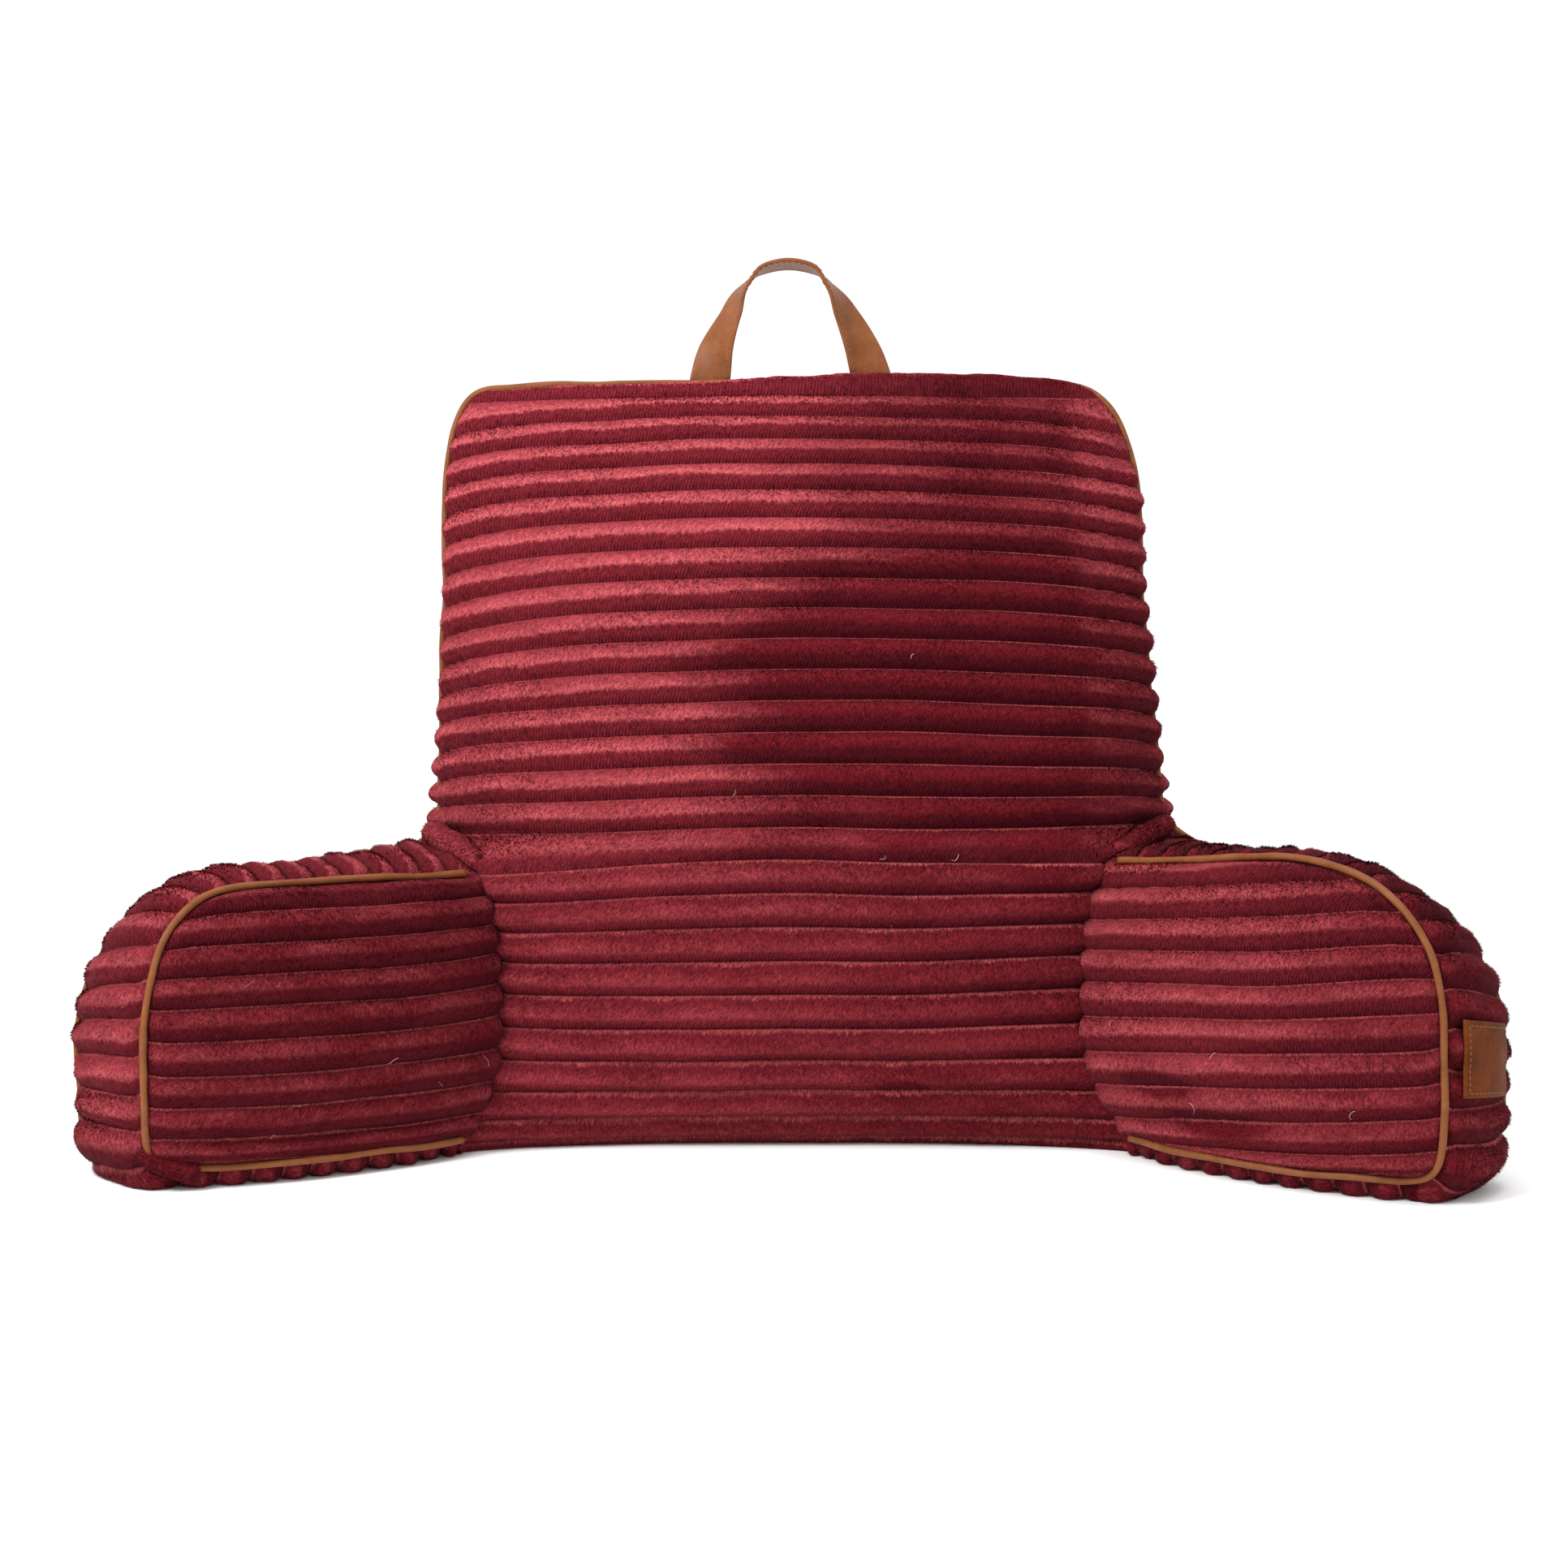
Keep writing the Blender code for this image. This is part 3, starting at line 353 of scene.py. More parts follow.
# The strap's outline from its edge to beside its middle, in half widths and half thicknesses
STRAP_CORNER = ((1, 0), (0.985, 0.6), (0.94, 0.95), (0.84, 1.0), (0.76, 0.86), (0.4, 0.9))
STRAP_MIDDLE = 0.92
STRAP_STEPS = 160
STRAP_SEAM = (0.40, 0.45)    # the stitches' place, in widths and thicknesses

# The patch's points, and the rows and columns where its stitches run
LABEL_ROWS = 44
LABEL_COLUMNS = 26
LABEL_SEAM_ROWS = (3, 41)
LABEL_SEAM_COLUMNS = (2, 24)
LABEL_LIFT = RIB_RELIEF * (1 - RIB_BASE) + LABEL_GAP
LABEL_WAVE = 0.0007          # it follows the ribs below it by this much
LABEL_BUMPS = 0.0004
LABEL_BUMP_CELLS = (0.35, 0.22)
LABEL_ROLL = 0.0009          # its edges roll down by this much
LABEL_ROLL_CELLS = 2.0
LABEL_ASPECT = 1.9

# Seeds of the random draws
SEEDS = {
    "front": 3, "back": 23, "arm_left": 41, "arm_right": 61, "outer_panel": 7, "strip_left": 81,
    "strip_right": 101, "border": 41, "backrest": 11, "left": 13, "right": 17, "outer_piping": 29,
    "fold": 200, "fold_pile": 210, "lint": 5, "label": 7, "lean": 5,
}

# Colours: red, green, blue
STRAP_LEATHER = dict(dark=(0.141, 0.0430, 0.0130), light=(0.208, 0.0700, 0.0225), gloss=0.32, specular=0.14)
PATCH_LEATHER = dict(dark=(0.068, 0.0165, 0.0045), light=(0.134, 0.0340, 0.0090), gloss=0.34, specular=0.03)
THREAD_TAN = (0.235, 0.095, 0.034)
LINT_PALE = (0.62, 0.45, 0.45)
ROW_DARK, ROW_LIT = (0.062, 0.0042, 0.0078), (0.185, 0.0190, 0.0275)
SHEEN_PINK = (1.0, 0.30, 0.36, 1)

# Leather: scales of its clouds, wear and grain, and how deep the last two are
CLOUD, WEAR, GRAIN = 60.0, 210.0, 1500.0
WEAR_DEPTH, GRAIN_DEPTH = 0.0006, 0.00012
TAN_RANGE = (0.34, 0.66)     # from all dark to all light

# Plush
JAG, SWAY = 0.42, 0.36       # how far the bright side's end strays, finely and coarsely
MIDDLE_EDGE = 0.58           # its place on a rib
CALM_EDGE = 0.62             # past this the rib is calm
CALM_SHARPNESS = 12.0
PATCHES, TUFTS = 0.9, 0.8    # how strongly the brushing changes from place to place
ROW_SLANT = (9.6, 4.2)       # rows of knit to a rib's pitch, across and down
ROW_POWER = 2.5
ROW_STRENGTH = 0.65
FLANK = (0.60, 6.0)          # the rows show from here on a rib, and grow this quickly
SHOULDER = (0.17, 5.0)       # and up to here
FIBRE, STROKE, GRAIN_BASE = 1.1, 2.1, 0.60
TIP, TIP_BASE = 0.62, 0.69   # a blade is lighter toward its tip
SHADE, SHADE_BASE = 0.44, 0.78
HEIGHTS = (0.5, 0.7, 0.4)    # of the fibres, strokes and rows in the bump
PLUSH_BUMP = (0.0010, 0.8)

# Over a rib from one groove to the next: place, colour. Painted light and shade: each rib is darker on its
# lower flank and in its groove and lighter on its upper flank and crest, as light from above falls on it
BRIGHT_RIB_PAINTED_SHADE = (
    (0.000, (0.055, 0.0040, 0.0075)),
    (0.025, (0.190, 0.0240, 0.0310)),
    (0.060, (0.230, 0.0290, 0.0370)),
    (0.300, (0.300, 0.0440, 0.0540)),
    (0.520, (0.390, 0.0700, 0.0800)),
    (0.610, (0.155, 0.0140, 0.0205)),
    (0.720, (0.100, 0.0075, 0.0125)),
    (0.950, (0.088, 0.0062, 0.0106)),
    (1.000, (0.045, 0.0034, 0.0066)),
)
# Brushed dark, with painted shade as well: darker lower flank and groove
DARK_RIB_PAINTED_SHADE = (
    (0.000, (0.060, 0.0056, 0.0085)),
    (0.020, (0.340, 0.0650, 0.0680)),
    (0.050, (0.240, 0.0400, 0.0430)),
    (0.075, (0.078, 0.0056, 0.0090)),
    (0.300, (0.104, 0.0064, 0.0108)),
    (0.520, (0.082, 0.0048, 0.0084)),
    (0.680, (0.048, 0.0030, 0.0056)),
    (0.880, (0.034, 0.0022, 0.0044)),
)
# Calm ribs, with painted shade as well: darker lower flank and groove, lighter crest
CALM_RIB_PAINTED_SHADE = (
    (0.000, (0.060, 0.0056, 0.0085)),
    (0.020, (0.220, 0.0370, 0.0420)),
    (0.050, (0.165, 0.0200, 0.0260)),
    (0.110, (0.112, 0.0090, 0.0145)),
    (0.240, (0.140, 0.0130, 0.0195)),
    (0.420, (0.225, 0.0275, 0.0355)),
    (0.580, (0.245, 0.0325, 0.0405)),
    (0.700, (0.140, 0.0120, 0.0185)),
    (0.920, (0.112, 0.0090, 0.0148)),
    (1.000, (0.050, 0.0040, 0.0070)),
)

# Photograph's view
CAMERA_PLACE = (-0.005, -2.32, 0.48)
CAMERA_PITCH = 6.2
CAMERA_LENS = 77.35
CAMERA_SENSOR = 36.0
WORLD_STRENGTH = 1.05
LIGHT_TARGET = (0, 0, 0.2)
LIGHTS = (                   # name, place, width, energy
    ("key", (-1.7, -1.5, 2.1), 1.1, 75.0),
    ("top", (0.3, -0.4, 2.6), 1.6, 25.0),
)
FLOOR_HALF = 6.0
FLOOR_CELLS = 8
FLOOR_PALE = ((0.2, (0.975, 0.975, 0.975)), (0.8, (0.985, 0.985, 0.985)))


def smooth(x, xs, ys):
    """A smooth curve through a table's points, with a Catmull-Rom slope at each.

    ys may hold a grid of points for each x.
    """
    xs = np.asarray(xs, float)
    ys = np.asarray(ys, float)
    slopes = np.gradient(ys, xs, axis=0)
    x = np.clip(x, xs[0], xs[-1])
    i = np.clip(np.searchsorted(xs, x, side="right") - 1, 0, len(xs) - 2)
    width = xs[i + 1] - xs[i]
    f = (x - xs[i]) / width
    spread = (...,) + (None,) * (ys.ndim - 1)
    f = f[spread]
    width = width[spread]
    start = (1 + 2 * f) * (1 - f) ** 2 * ys[i] + f * (1 - f) ** 2 * width * slopes[i]
    end = f * f * (3 - 2 * f) * ys[i + 1] + f * f * (f - 1) * width * slopes[i + 1]
    return start + end


def unit(vectors):
    """Vectors scaled to length one."""
    return vectors / np.maximum(np.linalg.norm(vectors, axis=-1, keepdims=True), 1e-12)


def half_wave(shares, power):
    """Nothing at shares 0 and 1 and one halfway, the flatter between them the lower the power."""
    return np.sin(pi * np.clip(shares, 0, 1)).clip(0) ** power


def arc_lengths(points):
    """Distance from the first point to each point of a line."""
    steps = np.linalg.norm(np.diff(points, axis=0), axis=1)
    return np.concatenate([[0.0], np.cumsum(steps)])


# The backrest's shape

def section(t, name):
    """A value of the backrest's section at a distance t down the cloth."""
    return smooth(t, SECTIONS["t"], SECTIONS[name])


def row_distances():
    """Distances down the cloth of the backrest's rows, so that each groove has a row."""
    first = FIRST_GROOVE % ROW_STEP
    inner = np.arange(first, BASE_T - SHORTEST_ROW * ROW_STEP, ROW_STEP)
    return np.concatenate([[0.0], inner, [BASE_T]])


def row_heights(side):
    """Height of each of the backrest's rows at one side."""
    return section(row_distances(), side + "_z")


def junction_row(side):
    """The row where the outer seam turns from the backrest's side to the arm."""
    heights = row_heights(side)
    top_row = int(np.argmin(np.abs(heights - SIDES[side]["corner_z"])))
    return top_row - JUNCTION_ROWS


def outer_seam(side, z):
    """Plan position of the outer seam up the backrest's side, with its round top corner."""
    shape = SIDES[side]
    top_z = section(0.0, side + "_z")
    corner_x, corner_z = shape["corner"]
    low = np.interp(z, FLARE_Z, [shape["low_x"], shape["side_x"]])
    share = np.clip((z - (top_z - corner_z)) / corner_z, 0, 1)
    x = low - corner_x * (1 - (1 - share ** CORNER_POWER) ** (1 / CORNER_POWER))
    y = smooth(z, UPPER_SEAM["z"], UPPER_SEAM["y"])
    return np.stack([shape["sign"] * x, y], -1)


def front_edge(side, row):
    """The front panel's side edge at a row."""
    shape = SIDES[side]
    heights = row_heights(side)
    z = heights[row]
    junction = junction_row(side)
    if row <= junction:
        return np.append(outer_seam(side, z), z)
    corner = arm_frame(side)[0][:2]
    corner_row = junction + JUNCTION_ROWS
    if row <= corner_row:
        share = (row - junction) / JUNCTION_ROWS
        return np.append((1 - share) * outer_seam(side, heights[junction]) + share * corner, z)
    seam = shape["seam"]
    zs = np.append(seam["z"], heights[corner_row])
    return np.array([*(smooth(z, zs, np.append(seam[axis], end)) for axis, end in zip("xy", corner)), z])


def back_edge(side, row):
    """The back panel's side edge at a row: the outer seam, and below it the arm's outer surface."""
    heights = row_heights(side)
    z = heights[row]
    junction = junction_row(side)
    if row <= junction:
        return np.append(outer_seam(side, z), z)
    junction_z = heights[junction]
    swell = BACK_SWELL * np.sin(BACK_SWELL_TURN * pi * (junction_z - z) / junction_z)
    return np.append(outer_seam(side, junction_z) + swell * arm_frame(side)[2][:2], z)


def crown(s, exponents):
    """The crown's share of its full height at s, from -1 to 1 across a panel."""
    a, b = exponents
    return (1 - np.minimum(np.abs(s), 1) ** a) ** b


# The arms' shape

def arm_frame(side):
    """An arm's top inner corner, its direction along and its direction out through its thickness."""
    shape = SIDES[side]
    sign = shape["sign"]
    corner = np.array([sign * shape["top_corner"][0], -shape["top_corner"][1], 0])
    tip = np.array([sign * shape["tip"][0], -shape["tip"][1], 0])
    along = unit(tip - corner)
    outward = np.array([-along[1], along[0], 0]) * sign
    return corner, along, outward


def arm_length(side):
    """Length of the arm's inner panel, from the front panel's seam to the tip."""
    shape = SIDES[side]
    return float(np.hypot(*np.subtract(shape["tip"], shape["top_corner"])))


def outline_sizes(side, outer):
    """Reach along the arm and top height of a panel's outline."""
    shape = SIDES[side]
    length = arm_length(side) + (shape["outer_reach"] if outer else 0)
    top_z = shape["top_z"] + (shape["outer_top"] if outer else 0)
    return length, top_z


def turn_drop(share, outer):
    """The round of an outline's top corner: nothing at its start and one at its end."""
    power = OUTER_POWER if outer else INNER_POWER
    return 1 - (1 - share ** power) ** (1 / power)


def outline_reach(side, z, outer):
    """How far along the arm the panel's outline lies at a height."""
    shape = SIDES[side]
    length, top_z = outline_sizes(side, outer)
    round_z = top_z - shape["tip_z"]
    up = np.clip((z - shape["tip_z"]) / round_z, 0, 1)
    reach = length - shape["round_u"] * turn_drop(up, outer)
    radius = shape["corner_radius"]
    down = np.clip((ARM_BASE_SEAM + radius - z) / radius, 0, 1)
    return reach - radius * (1 - np.sqrt(1 - down ** 2))


def outline_height(side, reach, root_z, outer):
    """Height of the outline's top edge at a reach along the arm, before its turn down at the tip."""
    shape = SIDES[side]
    length, top_z = outline_sizes(side, outer)
    flat = length - shape["round_u"]
    share = np.clip(reach / flat, 0, 1)
    line_z = root_z + (top_z - root_z) * (1 - (1 - share) ** (OUTER_DROP if outer else 1))
    over = np.clip((reach - flat) / shape["round_u"], 0, 1)
    return line_z - (top_z - shape["tip_z"]) * turn_drop(over, outer)


def arm_rows(side, outer):
    """The backrest rows that an arm panel's rows start from, top to bottom."""
    junction = junction_row(side)
    last = int(np.argmin(np.abs(row_heights(side) - ARM_BASE_SEAM)))
    return range(junction if outer else junction + JUNCTION_ROWS, last + 1)


def arm_root(side, outer):
    """An arm panel's edge against the backrest, a point for each row."""
    edge = back_edge if outer else front_edge
    return np.array([edge(side, row) for row in arm_rows(side, outer)])


def falls(heights):
    """Shares of the whole fall, from the first height down to the last."""
    return (heights[0] - heights) / (heights[0] - heights[-1])


def arm_panel(side, outer, shares, alongs):
    """Grid of an arm panel's points: shares run from top to bottom, alongs from the root to the tip.

    The panel's upper far corner lies part of the way round the outline's turn, at TURN_SPLIT.
    """
    shape = SIDES[side]
    corner, along, outward = arm_frame(side)
    root = arm_root(side, outer)
    starts = along_line(root, shares, falls(root[:, 2]))
    split_reach = outline_sizes(side, outer)[0] - TURN_SPLIT * shape["round_u"]
    split_z = outline_height(side, split_reach, root[0, 2], outer)
    tip_z = split_z + (ARM_BASE_SEAM - split_z) * shares
    base = corner + (outward * shape["thickness"] if outer else 0)
    tips = base + along * outline_reach(side, tip_z, outer)[:, None]
    tips[:, 2] = tip_z
    a = alongs[None, :, None]
    points = starts[:, None, :] * (1 - a) + tips[:, None, :] * a
    top_edge = outline_height(side, alongs * split_reach, root[0, 2], outer)
    arch = top_edge - (root[0, 2] * (1 - alongs) + split_z * alongs)
    points[:, :, 2] += arch[None, :] * (1 - shares[:, None]) ** 2
    full = OUTER_SWELL if outer else shape["inner_swell"]
    low = shape["base_swell"] * (OUTER_BASE if outer else 1)
    swell = np.maximum(full * crown(2 * shares - 1, SWELL_ROUND), low * shares ** 2)
    swell = swell[:, None] * half_wave(alongs, SWELL_ALONG)[None, :]
    facing = outward if outer else -outward
    return points + swell[:, :, None] * facing


def arm_outline(side, outer):
    """The seam round an arm's panel as a dense line: along the top, down the tip and back below."""
    alongs = np.linspace(0, 1, OUTLINE_POINTS)
    shares = np.linspace(0, 1, OUTLINE_POINTS)
    top = arm_panel(side, outer, np.array([0.0]), alongs)[0]
    tip = arm_panel(side, outer, shares, np.array([1.0]))[:, 0]
    base = arm_panel(side, outer, np.array([1.0]), alongs[::-1])[0]
    return np.concatenate([top, tip[1:-1], base])


def along_line(points, distances, lengths):
    """Points at these distances along a line whose points lie at these lengths."""
    return np.stack([np.interp(distances, lengths, points[:, k]) for k in range(3)], -1)


def inward(side, points):
    """Unit directions from an arm's outline into its panel, at each point of the line."""
    outward = arm_frame(side)[2]
    tangents = unit(np.gradient(points, axis=0))
    return unit(np.cross(outward, tangents)) * SIDES[side]["sign"]


def gusset_lines(side, distances):
    """The gusset strip's inner and outer seam at these distances from its start on top."""
    inner = arm_outline(side, False)
    outer = arm_outline(side, True)
    lengths = arc_lengths(0.5 * (inner + outer))
    return along_line(inner, distances, lengths), along_line(outer, distances, lengths)


def gusset_length(side):
    """Length of the gusset strip, round the arm from the top to the base."""
    return arc_lengths(0.5 * (arm_outline(side, False) + arm_outline(side, True)))[-1]


def gusset_grid(side, distances, across):
    """Smooth points of the gusset strip, a row at each distance and columns from inner to outer."""
    shape = SIDES[side]
    inner, outer = gusset_lines(side, distances)
    out = -unit(inward(side, inner) + inward(side, outer))
    below = np.clip(-out[:, 2], 0, 1) ** 2
    above = np.clip(out[:, 2], 0, 1) ** 2
    squeezed = 0.5 + 0.5 * np.sign(across - 0.5) * np.abs(2 * across - 1) ** BASE_SQUEEZE
    q = (across + below[:, None] * (squeezed - across))[:, :, None]
    points = inner[:, None] * (1 - q) + outer[:, None] * q
    length = gusset_length(side)
    from_top = np.clip(distances / ROOT_BLEND, 0, 1)
    from_base = np.clip((length - distances) / ROOT_BLEND, 0, 1)
    height = shape["crown"] * (1 - below - above) + shape["top_crown"] * above
    height = height * from_top + BASE_CROWN * below * from_base
    profile = half_wave(across, STRIP_ROUND)
    return points + out[:, None] * height[:, None, None] * profile[None, :, None]


def gusset_root(side, base):
    """The strip's first or last row, on the backrest's rows."""
    if not base:
        corner_row = junction_row(side) + JUNCTION_ROWS
        return np.array([front_edge(side, corner_row - k) for k in range(GUSSET_COLUMNS + 1)])
    last = arm_rows(side, False)[-1]
    floor = len(row_distances()) - 1
    inner = front_edge(side, floor)
    outer = back_edge(side, floor)
    return np.array([front_edge(side, last), inner, 0.5 * (inner + outer), outer, back_edge(side, last)])


def seat_shift(side, outer, grid):
    """How far each point of an arm's panel moves in from the seam, to make the piping's seat."""
    seam = arm_outline(side, outer)
    lengths = arc_lengths(seam)
    fade = np.clip(np.minimum(lengths, lengths[-1] - lengths) / SEAT_FADE, 0, 1)
    facing = arm_frame(side)[2]
    flat_grid = grid - (grid @ facing)[:, :, None] * facing
    flat_seam = seam - (seam @ facing)[:, None] * facing
    away = np.linalg.norm(flat_grid[:, :, None] - flat_seam, axis=3)
    nearest = away.argmin(axis=2)
    amount = SEAT * fade[nearest] * np.clip(1 - away.min(axis=2) / SEAT_RUN, 0, 1)
    return inward(side, seam)[nearest] * amount[:, :, None]


def eased(line):
    """A line with its bends evened out and its ends kept."""
    for _ in range(PIPING_EASE):
        line[1:-1] = 0.5 * line[1:-1] + 0.25 * (line[:-2] + line[2:])
    return line


def arm_piping_line(side, outer):
    """The middle of the piping on an arm's inner or outer seam, from the top to the base."""
    outward = arm_frame(side)[2] * (-1 if outer else 1)
    length = gusset_length(side)
    distances = np.linspace(PIPING_START, length - PIPING_START, PIPING_POINTS)
    seam = gusset_lines(side, distances)[1 if outer else 0]
    into = inward(side, seam)
    out = -unit(into + outward)
    line = eased(seam + SEAT * 0.5 * (into + outward) + out * (PIPING_RADIUS + PIPING_GAP))
    line[:, 2] = np.maximum(line[:, 2], PIPING_RADIUS + FLOOR_GAP)
    return line


def backrest_piping_line():
    """The middle of the outer piping up one side of the backrest, over its top and down the other."""
    line = []
    for side in ("left", "right"):
        edge = np.array([front_edge(side, row) for row in range(junction_row(side) - 1)])
        line.append(edge[::-1] if side == "left" else edge)
    top = backrest_panel(True)[0, 1:-1]
    line = np.concatenate([line[0], top, line[1]])
    tangents = unit(np.gradient(line, axis=0))
    out = unit(np.cross(tangents, np.array([0.0, -1.0, 0.0])))
    out *= np.sign(out @ np.array([0, 0, 1.0]) + out[:, 0] * np.sign(line[:, 0]))[:, None]
    return line + out * (PIPING_RADIUS + PIPING_GAP)


# Fine panels

def grid_frame(points, outward):
    """Unit normals of a grid that face along outward, and its unit directions down and along the ribs."""
    down = unit(np.gradient(points, axis=0))
    along = unit(np.gradient(points, axis=1))
    normals = unit(np.cross(down, along))
    normals *= np.sign(np.sum(normals * outward, axis=-1, keepdims=True))
    return normals, down, along


def edge_distance(points, axes=(0, 1)):
    """Distance along the cloth from each point to the nearest edge of the grid, along these axes."""
    nearest = np.full(points.shape[:2], np.inf)
    for axis in axes:
        walked = np.linalg.norm(np.diff(points, axis=axis), axis=2).cumsum(axis=axis)
        first = np.insert(walked, 0, 0, axis=axis)
        last = np.take(first, [-1], axis=axis) - first
        nearest = np.minimum(nearest, np.minimum(first, last))
    return nearest


def soft_noise(u, v, cells, seed):
    """Smooth noise from -1 to 1 over a plane, with cells of this size."""
    rng = np.random.default_rng(seed)
    table = rng.uniform(-1, 1, (NOISE_CELLS, NOISE_CELLS))
    a = u / cells[0]
    b = v / cells[1]
    i = np.floor(a).astype(int)
    j = np.floor(b).astype(int)
    f = a - i
    g = b - j
    f = f * f * (3 - 2 * f)
    g = g * g * (3 - 2 * g)

    def corner(p, q):
        return table[(i + p) % NOISE_CELLS, (j + q) % NOISE_CELLS]

    upper = corner(0, 0) * (1 - f) + corner(1, 0) * f
    lower = corner(0, 1) * (1 - f) + corner(1, 1) * f
    return upper * (1 - g) + lower * g


def rib_height(phase):
    """Height of the ribbed cloth over its mean surface, a sharp groove and a round crest."""
    wave = np.abs(np.sin(pi * phase))
    return RIB_RELIEF * (np.sqrt(wave) - RIB_BASE)


def even_columns(rows, count):
    """Each row's points spread evenly along the cloth, and their distances from the row's middle."""
    points = []
    places = []
    for row in rows:
        lengths = arc_lengths(row)
        spots = np.linspace(0, lengths[-1], count + 1)
        points.append(along_line(row, spots, lengths))
        places.append(spots - 0.5 * lengths[-1])
    return np.array(points), np.array(places)


def fine_distances():
    """Distances down the whole cloth in fine steps, with a row in each groove."""
    steps = np.arange(FIRST_GROOVE % FINE_STEP, BASE_T, FINE_STEP)
    margin = SHORTEST_ROW * FINE_STEP
    return np.concatenate([[0.0], steps[(steps > margin) & (steps < BASE_T - margin)], [BASE_T]])


def backrest_panel(front):
    """Grid of points of the front or the back panel, without ribs, from left to right."""
    name = "front" if front else "back"
    edge = front_edge if front else back_edge
    s = np.sin(0.5 * pi * np.linspace(-1, 1, DENSE_POINTS + 1))
    junctions = [junction_row(side) for side in SIDES]
    rows = []
    for row, t in enumerate(row_distances()):
        left, right = [edge(side, row) for side in SIDES]
        mid_y = section(t, name + "_y")
        mid_z = section(t, name + "_z")
        near = np.where(s[:, None] < 0, left, right)
        a, b = FRONT_ROUND if front else BACK_ROUND
        if not front:
            below = [np.clip((row - junction) / WAIST_ROWS, 0, 1) for junction in junctions]
            b = b + np.where(s < 0, *below) * (WAIST_ROUND - b)
        x = (right[0] - left[0]) / 2 * s + (right[0] + left[0]) / 2
        y = near[:, 1] + (mid_y - near[:, 1]) * crown(s, (a, b))
        z = mid_z + (near[:, 2] - mid_z) * s * s
        rows.append(np.stack([x, y, z], -1))
    return np.array(rows)


def add_filling(points, filling, shares):
    """A fine grid with the simulated filling's movement spread over it."""
    if filling is None:
        return points
    rows, columns = [np.linspace(0, 1, count) for count in filling.shape[:2]]
    moved = smooth(shares, rows, filling).transpose(1, 0, 2)
    moved = smooth(np.linspace(0, 1, points.shape[1]), columns, moved)
    return points + moved.transpose(1, 0, 2)


def ease(values, start, end):
    """0 before start, 1 after end and a smooth rise between them."""
    f = np.clip((values - start) / (end - start), 0, 1)
    return f * f * (3 - 2 * f)


def flat_look(points, nap_and_painted_light, edge):
    """How brushed the pile is, partly painted light and shade, and where on a rib its bright side ends and
    its painted shade begins, the same all over a panel.
    """
    look = np.full(points.shape[:2] + (4,), 0.5)
    look[:, :, :2] = (nap_and_painted_light, edge)
    return look


def add_spots(look, points, spots):
    """Patches of pile that are brushed the dark way."""
    for x, z, wide, high in spots:
        away = ((points[:, :, 0] - x) / wide) ** 2 + ((points[:, :, 2] - z) / high) ** 2
        look[:, :, 0] -= SPOT_DARK * np.exp(-away ** 2)


def front_look(points):
    """The front panel's pile: brightest at the upper left, and dark toward the right, partly from its
    brushing and partly painted light and shade that follow the key light from the upper left.
    """
    look = flat_look(points, *BRUSHING_AND_PAINTED_LIGHT["front"])
    x = points[:, :, 0]
    z = points[:, :, 2]
    upper = ease(z, *UPPER_Z)
    waist = 1 - ease(z, *WAIST_Z)
    border = BORDER * soft_noise(x + 1, z, BORDER_CELLS, SEEDS["border"])
    dark = ease(x - DARK_LEAN * (1 - waist) + border, *DARK_X)
    # Painted light and shade as well as brushing: lighter to the upper left and darker to the right, all of
    # it darker at the waist
    look[:, :, 0] += upper * (1 - dark) * (BRIGHT + WAIST_BRIGHT * waist)
    look[:, :, 0] += upper * dark * (DARK + WAIST_DARK * waist)
    look[:, :, 0] += (1 - upper) * (SEAT_BRIGHT + SEAT_DARK * ease(x, *SEAT_X))
    look[:, :, 0] += upper * (RIGHT_DARK * ease(x, *RIGHT_X) + RIM_BRIGHT * ease(x, *RIM_X))
    look[:, :, 1] += SEAT_CALM * (1 - upper)
    add_spots(look, points, FRONT_SPOTS)
    return look


def arm_look(side, outer, points):
    """An arm panel's pile: the left inner panel is painted dark as shade, since it faces away from the key
    light, and the right one is painted lighter, as it faces the light, less so toward its tip.
    """
    if outer:
        return flat_look(points, *BRUSHING_AND_PAINTED_LIGHT["arm_outer"])
    look = flat_look(points, *BRUSHING_AND_PAINTED_LIGHT["arm_inner"])
    along = np.linspace(0, 1, points.shape[1])[None, :]
    # Painted light and shade: the right inner panel faces the key light and is lighter, the left faces away
    # and is darker
    if side == "right":
        look[:, :, 0] = RIGHT_ARM["start"] + RIGHT_ARM["fall"] * ease(along, *RIGHT_ARM["shares"])
        add_spots(look, points, RIGHT_SPOTS)
    else:
        look[:, :, 0] += LEFT_ARM["rise"] * ease(along, *LEFT_ARM["shares"])
    return look


def strip_look(side, points):
    """A gusset strip's pile, with painted light and shade: lighter on the left arm, which faces the key
    light, but darker at its base by the floor, and dark on the right arm, which faces away.
    """
    look = flat_look(points, *BRUSHING_AND_PAINTED_LIGHT["strip_" + side])
    if side == "left":
        # Painted shade: the left strip is darker at its base, where it turns under toward the floor
        look[:, :, 0] += LEFT_STRIP["dark"] * (1 - ease(points[:, :, 2], *LEFT_STRIP["heights"]))
    return look


def wander(kind, u, v, inside, seed):
    """How far the grooves of a kind of panel lie beside their straight lines."""
    values = UNEVEN[kind]
    return values["wobble"] * inside * soft_noise(u, v, values["wander_cells"], seed)


def roughen(relief, kind, u, v, crest, inside, seed):
    """Clumps of pile on the crests, and soft dents in the filling, added to the relief."""
    values = UNEVEN[kind]
    relief += values["fine"] * crest * soft_noise(u, v, CLUMP_CELLS, seed + 1)
    relief += values["coarse"] * crest * soft_noise(u, v, values["coarse_cells"], seed + 2)
    relief += DENT * inside * soft_noise(u, v, values["dent_cells"], seed + 3)


